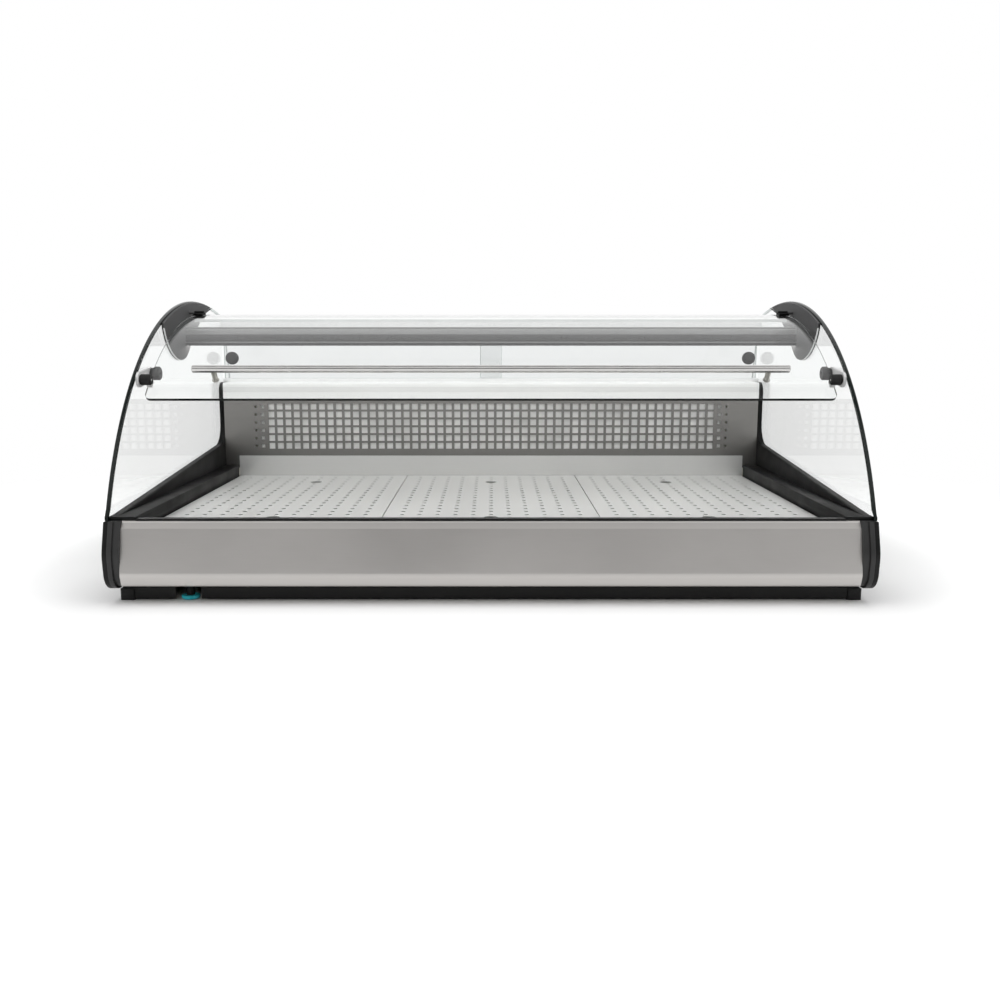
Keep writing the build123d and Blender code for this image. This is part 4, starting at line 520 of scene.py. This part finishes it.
bar_metal = polished("bar_metal", (0.64, 0.632, 0.62), rough=0.26)
leg_metal = polished("leg_metal", (0.42, 0.41, 0.38), rough=0.3)
bar_out = np.array([0, -np.sin(BAR_AHEAD), np.cos(BAR_AHEAD)])
arc_centre = np.array([0, *CENTRE])
bar_middle = arc_centre + (BEND_OUTER + BAR_OFF) * bar_out
bar = loft(
    "lifting_bar",
    turned(rod_profile(BAR_RADIUS, -BAR_HALF, BAR_HALF, BAR_ROLL), bar_middle, (1, 0, 0)),
    "front_glass", bar_metal,
)
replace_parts(bar, "glass_handle")
for side, sign in SIDES:
    foot = arc_centre + BEND_OUTER * bar_out + [sign * LEG_X, 0, 0]
    loft(f"{side}_bar_leg", turned(LEG_PROFILE, foot, bar_out), "front_glass", leg_metal)

# Hinge clips. Black plastic saddles bonded to the pane's rear corners, each with a barrel that
# turns on a grey coated pin in the ear.
CLIP_INNER = 608 * MM
CLIP_OUTER = 628 * MM
CLIP_LOW = 572.3 * MM
CLIP_HIGH = 577.3 * MM
CLIP_REAR = np.radians(4.6)
CLIP_FRONT = np.radians(7.4)
CLIP_ROLL = 1 * MM
BARREL_RADIUS = 4.2 * MM
hinge_skin = coated("hinge_skin", (0.003, 0.003, 0.003), rough=0.6, shine=0.1)
for side, sign in SIDES:
    saddle = bent_section(CLIP_REAR, CLIP_FRONT, CLIP_HIGH, CLIP_LOW, steps=13)
    steps = between_sides(sign, CLIP_INNER, CLIP_OUTER, CLIP_ROLL, CLIP_ROLL, steps=4)
    clip = loft(f"{side}_clip", plate_rings(saddle, steps, along_x), "front_glass", hinge_skin)
    barrel = rod_profile(BARREL_RADIUS, CLIP_INNER, CLIP_OUTER, CLIP_ROLL)
    rings = turned(barrel, [0, *HINGE], (sign, 0, 0))
    loft(f"{side}_clip_barrel", rings, "front_glass", hinge_skin)
    if sign < 0:
        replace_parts(clip, "hinge_clips")
dress(ear_skin, "hinge_pins")

# Guides and rests. Black guides, on pale feet at the front pane's lower corners, centre it between
# the side panes. It shuts on rubber rests that pale plates on the side panes carry.
GUIDE_AHEAD = np.radians(40.3)
GUIDE_FROM_PANE = 13 * MM
GUIDE_INNER = 619.5 * MM
GUIDE_FOOT_OUTER = 629.5 * MM
FOOT_TURN = 0.0125
FOOT_HIGH = BEND_OUTER + GUIDE_FROM_PANE
FOOT_ROLL = 1 * MM
REST_AHEAD = np.radians(34.9)
REST_RADIUS = 553.2 * MM
REST_INNER = 622 * MM
PLATE_INNER = 640 * MM
PLATE_HALF = 14 * MM
PLATE_ROLL = 1 * MM
END_STEPS = 25
GUIDE_PROFILE = np.array([[1.9, 2.5], [1.9, 0.3], [2.3, 0], [8.6, 0], [10, 1.4], [10, 18.6], [8.6, 20]]) * MM
REST_PROFILE = np.array([[2.2, 3], [2.2, 0.4], [2.7, 0], [10.5, 0], [12.5, 2], [12.5, 16], [11, 18]]) * MM
rubber_skin = coated("rubber_skin", (0.010, 0.010, 0.010), rough=0.6, shine=0.3, grain=0.0015)
rest_skin = coated("rest_skin", (0.045, 0.045, 0.045), rough=0.5, grain=0.0015)
plate_skin = coated("plate_skin", (0.60, 0.60, 0.60), rough=0.3)
guide = ahead_of_crown(FOOT_HIGH, np.array([GUIDE_AHEAD]))[0]
rest = ahead_of_crown(REST_RADIUS, np.array([REST_AHEAD]))[0]
reach = np.arctan2(*(rest - guide)[::-1])
round_end = np.linspace(-np.pi / 2, np.pi / 2, END_STEPS)
ends = [(rest, round_end + reach), (guide, round_end + reach + np.pi)]
slot_plate = np.concatenate([end + PLATE_HALF * np.column_stack([np.cos(t), np.sin(t)]) for end, t in ends])
foot = bent_section(GUIDE_AHEAD - FOOT_TURN, GUIDE_AHEAD + FOOT_TURN, FOOT_HIGH, CLIP_LOW, steps=5)
for side, sign in SIDES:
    rings = turned(GUIDE_PROFILE, [sign * GUIDE_INNER, *guide], (sign, 0, 0))
    roller = loft(f"{side}_guide", rings, "front_glass", rubber_skin)
    steps = between_sides(sign, GUIDE_INNER, GUIDE_FOOT_OUTER, FOOT_ROLL, FOOT_ROLL, steps=4)
    rings = plate_rings(foot, steps, along_x)
    loft(f"{side}_guide_foot", rings, "front_glass", plate_skin)
    rings = turned(REST_PROFILE, [sign * REST_INNER, *rest], (sign, 0, 0))
    cushion = loft(f"{side}_rest", rings, "case", rest_skin)
    steps = between_sides(sign, PLATE_INNER, PANE_INNER, PLATE_ROLL, 0, steps=4)
    rings = plate_rings(slot_plate, steps, along_x)
    plate = loft(f"{side}_rest_plate", rings, "case", plate_skin)
    if sign < 0:
        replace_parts(roller, "glass_guides")
        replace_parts(cushion, "glass_rests")
        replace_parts(plate, "rest_plates")

# Canopy bar. A grey anodised channel between the ears, open below, with a white lamp board
# under its top and an opal diffuser on its lips.
CANOPY_BACK = np.array([
    [526, 431], [531, 431], [531, 469], [498.5, 469], [494.4, 462.5], [494.4, 454.5],
]) * MM
CANOPY_BACK_BENDS = np.array([0, 1, 1.5, 5, 2, 0]) * MM
CANOPY_FACE = np.array([[493.2, 453.6], [493.2, 439.6]]) * MM
CANOPY_LIP = np.array([[494.3, 439], [494.3, 436.8], [493, 436], [493, 431], [498, 431]]) * MM
CANOPY_LIP_BENDS = np.array([0, 0.3, 0.3, 1, 0]) * MM
CANOPY_LIP_TOP = 436.5 * MM
CANOPY_INSIDE = np.array([
    [498, 432.5], [496, 432.5], [496, 467.5], [529.5, 467.5], [529.5, 432.5], [526, 432.5],
]) * MM
LAMP_GLOW = 8.0
channel_metal = brushed("channel_metal", (0.26, 0.26, 0.26), rough=0.4, cloud=0.3)
# Darker copy of the channel metal for the front face and lips: a painted shade.
face_shade_metal = brushed("face_shade_metal", (0.04, 0.04, 0.04), rough=0.4, cloud=0.3)
canopy_back = rounded(CANOPY_BACK, CANOPY_BACK_BENDS)
canopy_path = np.concatenate([canopy_back, CANOPY_FACE, rounded(CANOPY_LIP, CANOPY_LIP_BENDS), CANOPY_INSIDE])
canopy_rings = np.array([along_x(canopy_path + [FRONT, 0], x) for x in (-EAR_INNER, EAR_INNER)])
canopy = loft(
    "canopy_channel", canopy_rings, "case", channel_metal, rim=face_shade_metal,
    rim_columns=(len(canopy_back), *np.flatnonzero(canopy_path[:, 1] < CANOPY_LIP_TOP)),
)
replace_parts(canopy, "canopy_bar")
dress(coated("board_skin", (0.8, 0.8, 0.78), rough=0.5), "led_board")
diffuser_skin = coated("diffuser_skin", (0.9, 0.9, 0.88), rough=0.3)
diffuser_surface = diffuser_skin.node_tree.nodes["Principled BSDF"]
diffuser_surface.inputs["Emission Color"].default_value = (1, 0.98, 0.95, 1)
diffuser_surface.inputs["Emission Strength"].default_value = LAMP_GLOW
dress(diffuser_skin, "lamp_diffuser")

# Roof pane, rear rail and doors. A flat pane, notched round the ears, closes the roof to a light
# grey anodised rail. Two doors, each with a black pull, slide in its grooves and in a track on the ledge.
ROOF_LOW = 482 * MM
ROOF_HIGH = 488 * MM
ROOF_FRONT = 126 * MM
ROOF_NOTCH = 272 * MM
ROOF_REAR = 358.5 * MM
ROOF_NARROW = 638.5 * MM
DOOR_RAIL_CORNERS = np.array([
    [786, 470], [796.5, 470], [796.5, 480], [802.5, 480], [802.5, 470], [808.5, 470], [808.5, 480],
    [814.5, 480], [814.5, 470], [818, 470], [818, 494], [794, 494], [794, 482], [786, 482],
]) * MM
DOOR_RAIL_BENDS = np.array([1.5, 0.5, 0.3, 0.3, 0.5, 0.5, 0.3, 0.3, 0.5, 1, 2.5, 0.8, 0.3, 0.8]) * MM
TRACK_HALF = 643.5 * MM
TRACK_CORNERS = np.array([
    [791.5, 345], [819.5, 345], [819.5, 353], [814.5, 353], [814.5, 348], [808.5, 348],
    [808.5, 353], [802.5, 353], [802.5, 348], [796.5, 348], [796.5, 353], [791.5, 353],
]) * MM
TRACK_BENDS = np.array([0.3, 0.3, 1.5, 0.6, 0.3, 0.3, 0.6, 0.6, 0.3, 0.3, 0.6, 1.5]) * MM
DOOR_LOW = 348 * MM
DOOR_HIGH = 476 * MM
DOOR_INNER_END = -26 * MM
DOOR_OUTER_END = 641 * MM
DOOR_CORNER = 4 * MM
DOOR_FACES = {"left": 362 * MM, "right": 374 * MM}
DOOR_GLASS = 5 * MM
DOOR_BORDER = 0.5 * MM
PULL_PLACE = np.array([622, 402]) * MM
PULL_PROFILE = np.array([
    [0.5, 2.3], [10.6, 2.5], [11.2, 0.6], [12, 0], [14.6, 0], [15.5, 0.7], [15.5, 1.2],
]) * MM
PULL_THICK = 7.4 * MM
PULL_PROUD = 1.2 * MM


def along_z(points, depth):
    """Section points (X, Y) set at a depth along Z."""
    return np.column_stack([points, np.full(len(points), depth)])


clip_skin = coated("clip_skin", (0.010, 0.010, 0.010), rough=0.42, shine=0.3)
door_glass = clear("door_glass", (0.84, 0.85, 0.85), smear=0.01)
rail_metal = brushed("rail_metal", (0.94, 0.94, 0.94), rough=0.4, depth=0.02, height=0.000004, metal=0.15)
rail_section = rounded(DOOR_RAIL_CORNERS + [FRONT, 0], DOOR_RAIL_BENDS, steps=5)
rail_rings = np.array([along_x(rail_section, x) for x in (-PANE_INNER, PANE_INNER)])
rail = loft("door_rail", rail_rings, "case", rail_metal)
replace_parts(rail, "rear_top_rail")
track_section = rounded(TRACK_CORNERS + [FRONT, 0], TRACK_BENDS, steps=5)
track_rings = np.array([along_x(track_section, x) for x in (-TRACK_HALF, TRACK_HALF)])
track = loft("door_track", track_rings, "case", rail_metal)
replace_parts(track, "lower_door_track")
roof_right = [
    [ROOF_NARROW, ROOF_FRONT], [ROOF_NARROW, ROOF_NOTCH],
    [PANE_INNER, ROOF_NOTCH], [PANE_INNER, ROOF_REAR],
]
roof_edge = np.array([*roof_right, *[[-x, y] for x, y in roof_right[::-1]]])
roof_rings = plate_rings(roof_edge, [(0, ROOF_LOW), (0, ROOF_HIGH)], along_z)
# Its edges take the pale edge glass, painted light.
roof = loft("roof_pane", roof_rings, "case", pane_glass, rim=lit_edge_glass)
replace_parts(roof, "roof_glass")
for side, sign in SIDES:
    ends = sign * np.array([DOOR_INNER_END, DOOR_OUTER_END])
    corners = np.column_stack([(DOOR_LOW, DOOR_LOW, DOOR_HIGH, DOOR_HIGH), (*ends, *ends[::-1])])
    face = DOOR_FACES[side]
    steps = edge_steps(face, face + DOOR_GLASS, PANE_ARRIS, PANE_ARRIS, steps=3, flat=DOOR_BORDER)
    rings = plate_rings(rounded(corners, DOOR_CORNER), steps, along_y)
    # Its edges take the pale edge glass, painted light.
    door = loft(f"{side}_door_pane", rings, f"{side}_door", door_glass, rim=lit_edge_glass)
    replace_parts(door, f"{side}_door")
    profile = np.concatenate([PULL_PROFILE, (PULL_PROFILE * [1, -1] + [0, PULL_THICK])[::-1]])
    middle = [sign * PULL_PLACE[0], face - PULL_PROUD, PULL_PLACE[1]]
    pull = loft(f"{side}_pull", turned(profile, middle, (0, 1, 0)), f"{side}_door", clip_skin)
    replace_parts(pull, f"{side}_door_pull")

# Evaporator. A perforated satin screen under a bright bent ledge. Behind it stand a coil with a
# white-coated plate and fins, its drip tray, and two pale fans on the back of the fins.
LEDGE_HALF = 631.5 * MM
LEDGE_TOP = np.array([[867.5, 325], [867.5, 345], [738.5, 345], [738.5, 335]]) * MM
LEDGE_BENDS = np.array([0, 6, 6, 0]) * MM
LEDGE_FACE = np.array([[739.2, 324], [739.6, 323.8], [739.6, 323.2], [738.5, 323], [738.5, 306]]) * MM
LEDGE_INSIDE = np.array([[740, 306], [740, 343.5], [866, 343.5], [866, 325]]) * MM
LEDGE_INSIDE_BENDS = np.array([0, 4.5, 4.5, 0]) * MM
screen_metal = brushed("screen_metal", (0.27, 0.264, 0.253), rough=0.4)
ledge_metal = brushed("ledge_metal", (0.95, 0.95, 0.945), rough=0.36, depth=0.02, height=0.000004, metal=0.2)
fin_coat = coated("fin_coat", (0.84, 0.84, 0.83), rough=0.4)
pale_fan_skin = coated("pale_fan_skin", (0.66, 0.66, 0.64), rough=0.45)
dress(screen_metal, "evaporator_panel")
ledge_outside = np.concatenate([rounded(LEDGE_TOP, LEDGE_BENDS), LEDGE_FACE])
ledge_section = np.concatenate([ledge_outside, rounded(LEDGE_INSIDE, LEDGE_INSIDE_BENDS)]) + [FRONT, 0]
ledge_rings = np.array([along_x(ledge_section, x) for x in (-LEDGE_HALF, LEDGE_HALF)])
# Darker copy of the ledge metal for its upper front and the groove: a painted shade.
shaded_ledge_band = brushed("shaded_ledge_band", (0.85, 0.85, 0.845), rough=0.36, depth=0.02, height=0.000004, metal=0.2)
groove = len(ledge_outside) - len(LEDGE_FACE)
ledge_shade_columns = range(groove - 1, groove + 3)
ledge = loft(
    "ledge", ledge_rings, "case", ledge_metal,
    rim=shaded_ledge_band, rim_columns=ledge_shade_columns, sharp=20,
)
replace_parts(ledge, "rear_ledge")
dress(pan_metal, "drip_tray")
dress(fin_coat, "evaporator_coil")
dress(pale_fan_skin, "evaporator_fan_frames", "left_evaporator_fan", "right_evaporator_fan")

# Cooling machine. A black painted compressor on rubber grommets, an aluminium condenser with a
# black fan, and a copper drier and pipes.
copper_metal = polished("copper_metal", (0.75, 0.36, 0.22), rough=0.28)
fin_metal = brushed("fin_metal", (0.7, 0.7, 0.7), rough=0.4, along=(1, 1, 40))
dress(fin_metal, "condenser_coil")
dress(coated("fan_skin", (0.016, 0.016, 0.016), rough=0.45), "condenser_fan_frame", "condenser_fan")
dress(coated("shell_paint", (0.012, 0.012, 0.012), rough=0.3), "compressor")
dress(rubber_skin, "compressor_mounts")
dress(copper_metal, "refrigerant_pipes", "filter_drier")

# Service side. A grey coated rear sheet, screwed on, with vents. A black controller with a
# smoked display and grey keys, two rockers and a cable gland are set in it.
BACK_FACE = 431 * MM
SCREW_XS = np.array([-620, -310, 0, 310, 620]) * MM
SCREW_ZS = np.array([36, 311]) * MM
SCREW_PROFILE = np.array([
    [1.9, -1.4], [1.9, 0], [3.6, 0], [3.6, 0.8], [3.1, 1.6], [2, 2.1], [1.5, 2.2], [1.3, 1.2], [0.3, 1.2],
]) * MM
KEYS = {"up_button": np.array([79.5, -114]) * MM, "down_button": np.array([68.5, -114]) * MM}
KEY_CORNERS = np.array([[-3.2, -4.2], [-3.2, 4.2], [3.2, 4.2], [3.2, -4.2]]) * MM
KEY_CORNER_R = 1.2 * MM
KEY_RUN = np.array([430.7, 434.7]) * MM
KEY_ROLL = 0.8 * MM
KEY_BORDER = 0.3 * MM
ROCKER_CORNERS = np.array([[-4, -11.2], [5, -11.2], [3, 0], [5, 11.2], [-4, 11.2]]) * MM
ROCKER_BENDS = np.array([0.5, 1.2, 30, 1.2, 0.5]) * MM
ROCKER_PIVOT = np.array([428, 74]) * MM
ROCKER_TILT = np.radians(7)
ROCKER_HALF = 7.7 * MM
ROCKER_ROLL = 0.6 * MM
ROCKER_BORDER = 0.3 * MM
POWER_X = 10 * MM
LIGHT_X = -24 * MM
dress(coated("rear_coat", (0.33, 0.33, 0.33), rough=0.5, cloud=0.3, depth=0.03), "rear_panel")
dress(clip_skin, "controller", "switch_housings", "cable_gland")
dress(coated("display_skin", (0.03, 0.004, 0.004), rough=0.1), "controller_display")
for x in SCREW_XS:
    for z in SCREW_ZS:
        rings = turned(SCREW_PROFILE, [x, BACK_FACE, z], (0, 1, 0), steps=24)
        screw = loft(f"screw_{x / MM:.0f}_{z / MM:.0f}", rings, "case", bar_metal)
        if x < SCREW_XS[1] and z < SCREW_ZS[1]:
            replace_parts(screw, "panel_screws")
key_skin = coated("key_skin", (0.25, 0.25, 0.26), rough=0.45)
for name, middle in KEYS.items():
    section = rounded(KEY_CORNERS + middle, KEY_CORNER_R, steps=7)
    rings = plate_rings(section, edge_steps(*KEY_RUN, 0, KEY_ROLL, flat=KEY_BORDER), along_y)
    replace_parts(loft(f"{name}_key", rings, name, key_skin), name)
rocker_green_skin = coated("rocker_green_skin", (0.02, 0.22, 0.06), rough=0.25)
rocker_black_skin = coated("rocker_black_skin", (0.015, 0.015, 0.015), rough=0.25)
tilt = np.array([[np.cos(ROCKER_TILT), -np.sin(ROCKER_TILT)], [np.sin(ROCKER_TILT), np.cos(ROCKER_TILT)]])
section = ROCKER_PIVOT + rounded(ROCKER_CORNERS, ROCKER_BENDS) @ tilt.T
for name, x, slot, skin in (
    ("power_switch", POWER_X, "rocker_green", rocker_green_skin),
    ("light_switch", LIGHT_X, "rocker_black", rocker_black_skin),
):
    run = (x - ROCKER_HALF, x + ROCKER_HALF)
    steps = edge_steps(*run, ROCKER_ROLL, ROCKER_ROLL, steps=4, flat=ROCKER_BORDER)
    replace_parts(loft(f"{name}_paddle", plate_rings(section, steps, along_x), name, skin), name)

# Studio. A white floor that fades into a white room, soft lamps above and at both sides, grey
# cards behind and over the camera for the metal to mirror, and the camera at the photograph's angle.
FLOOR_HALF = 4.0
GLOW_START = 0.8
FADE_START = 1.1
FADE_END = 1.9
FLOOR_GREY = 0.88
FLOOR_GLOW = 0.3
ROOM_LIGHT = 0.45
CARD_HALF = 3.0
CARDS = {"card": [(-4.0, 0.25), (-4.0, 2.9)], "card_hood": [(-2.0, 4.7), (0.4, 5.2)]}
LAMP_AIM = (0, 0, 0.2)
SENSOR = 36.0
CAMERA_PLACE = (0, -2.065, 0.444)
CAMERA_DIP = 9.1
CAMERA_SHIFT = 0.009


def stage_sheet(name, corners, material):
    """A flat four-cornered sheet of the studio."""
    data = bpy.data.meshes.new(name)
    data.from_pydata(corners, [], [[0, 1, 2, 3]])
    data.materials.append(material)
    sheet = bpy.data.objects.new(name, data)
    bpy.context.scene.collection.objects.link(sheet)
    return sheet


def seen_rays(tree):
    """1 for rays that show the background: the camera's, and those mirrored or let through."""
    path = node(tree, "ShaderNodeLightPath").outputs
    sockets = {0: path["Is Camera Ray"], 1: path["Is Glossy Ray"]}
    first = node(tree, "ShaderNodeMath", sockets, operation="MAXIMUM").outputs["Value"]
    sockets = {0: first, 1: path["Is Transmission Ray"]}
    return node(tree, "ShaderNodeMath", sockets, operation="MAXIMUM").outputs["Value"]


paper, tree, surface = surface_of("white_floor")
surface.inputs["Base Color"].default_value = (FLOOR_GREY, FLOOR_GREY, FLOOR_GREY, 1)
surface.inputs["Roughness"].default_value = 0.9
surface.inputs["Specular IOR Level"].default_value = 0.0
place = node(tree, "ShaderNodeTexCoord").outputs["Object"]
away = node(tree, "ShaderNodeVectorMath", {0: place}, operation="LENGTH").outputs["Value"]
ring = {"Value": away, "From Min": GLOW_START, "From Max": FADE_START, "To Max": FLOOR_GLOW}
strength = node(tree, "ShaderNodeMapRange", ring, interpolation_type="SMOOTHSTEP").outputs["Result"]
level = node(tree, "ShaderNodeMath", {0: strength, 1: seen_rays(tree)}, operation="MULTIPLY").outputs["Value"]
surface.inputs["Emission Color"].default_value = (1, 1, 1, 1)
tree.links.new(level, surface.inputs["Emission Strength"])
ring = {"Value": away, "From Min": FADE_START, "From Max": FADE_END}
fade = node(tree, "ShaderNodeMapRange", ring, interpolation_type="SMOOTHSTEP").outputs["Result"]
none = node(tree, "ShaderNodeBsdfTransparent").outputs["BSDF"]
faded = node(tree, "ShaderNodeMixShader", {"Fac": fade, 1: surface.outputs["BSDF"], 2: none})
tree.links.new(faded.outputs["Shader"], tree.nodes["Material Output"].inputs["Surface"])
stage_sheet("floor", FLOOR_HALF * np.array([[-1, -1, 0], [1, -1, 0], [1, 1, 0], [-1, 1, 0]]), paper)

card_paper = coated("card_paper", (0.4, 0.4, 0.4), rough=0.9, shine=0.0)
for name, (low, high) in CARDS.items():
    corners = [(-CARD_HALF, *low), (-CARD_HALF, *high), (CARD_HALF, *high), (CARD_HALF, *low)]
    card = stage_sheet(name, corners, card_paper)
    card.visible_camera = False
    card.visible_transmission = False
    card.visible_shadow = False
    card.visible_diffuse = False

world = bpy.data.worlds.new("white_room")
bpy.context.scene.world = world
world.use_nodes = True
tree = world.node_tree
level = node(tree, "ShaderNodeMapRange", {"Value": seen_rays(tree), "To Min": ROOM_LIGHT, "To Max": 1.0})
tree.links.new(level.outputs["Result"], tree.nodes["Background"].inputs["Strength"])
tree.nodes["Background"].inputs["Color"].default_value = (1, 1, 1, 1)


def lamp(name, place, aim, size, power):
    """A soft square lamp at a place, turned to its aim, unseen by the camera itself."""
    data = bpy.data.lights.new(name, "AREA")
    data.size = size
    data.energy = power
    made = bpy.data.objects.new(name, data)
    made.location = place
    way = np.array(aim) - np.array(place)
    turn = np.arctan2(-way[0], way[1])
    tilt = np.arctan2(np.hypot(way[0], way[1]), -way[2])
    made.rotation_euler = (tilt, 0, turn)
    made.visible_camera = False
    made.visible_transmission = False
    made.visible_glossy = False
    bpy.context.scene.collection.objects.link(made)


lamp("top_lamp", (0, -0.6, 2.6), LAMP_AIM, size=3.6, power=64)
lamp("left_lamp", (-2.4, -1.4, 1.5), LAMP_AIM, size=1.8, power=16)
lamp("right_lamp", (2.4, -1.4, 1.5), LAMP_AIM, size=1.8, power=16)

camera_data = bpy.data.cameras.new("camera")
camera_data.lens = SENSOR
camera_data.sensor_width = SENSOR
camera_data.shift_x = CAMERA_SHIFT
camera = bpy.data.objects.new("camera", camera_data)
camera.location = CAMERA_PLACE
camera.rotation_euler = (np.radians(90 - CAMERA_DIP), 0, 0)
bpy.context.scene.collection.objects.link(camera)
bpy.context.scene.camera = camera
bpy.context.scene.view_settings.view_transform = "Standard"
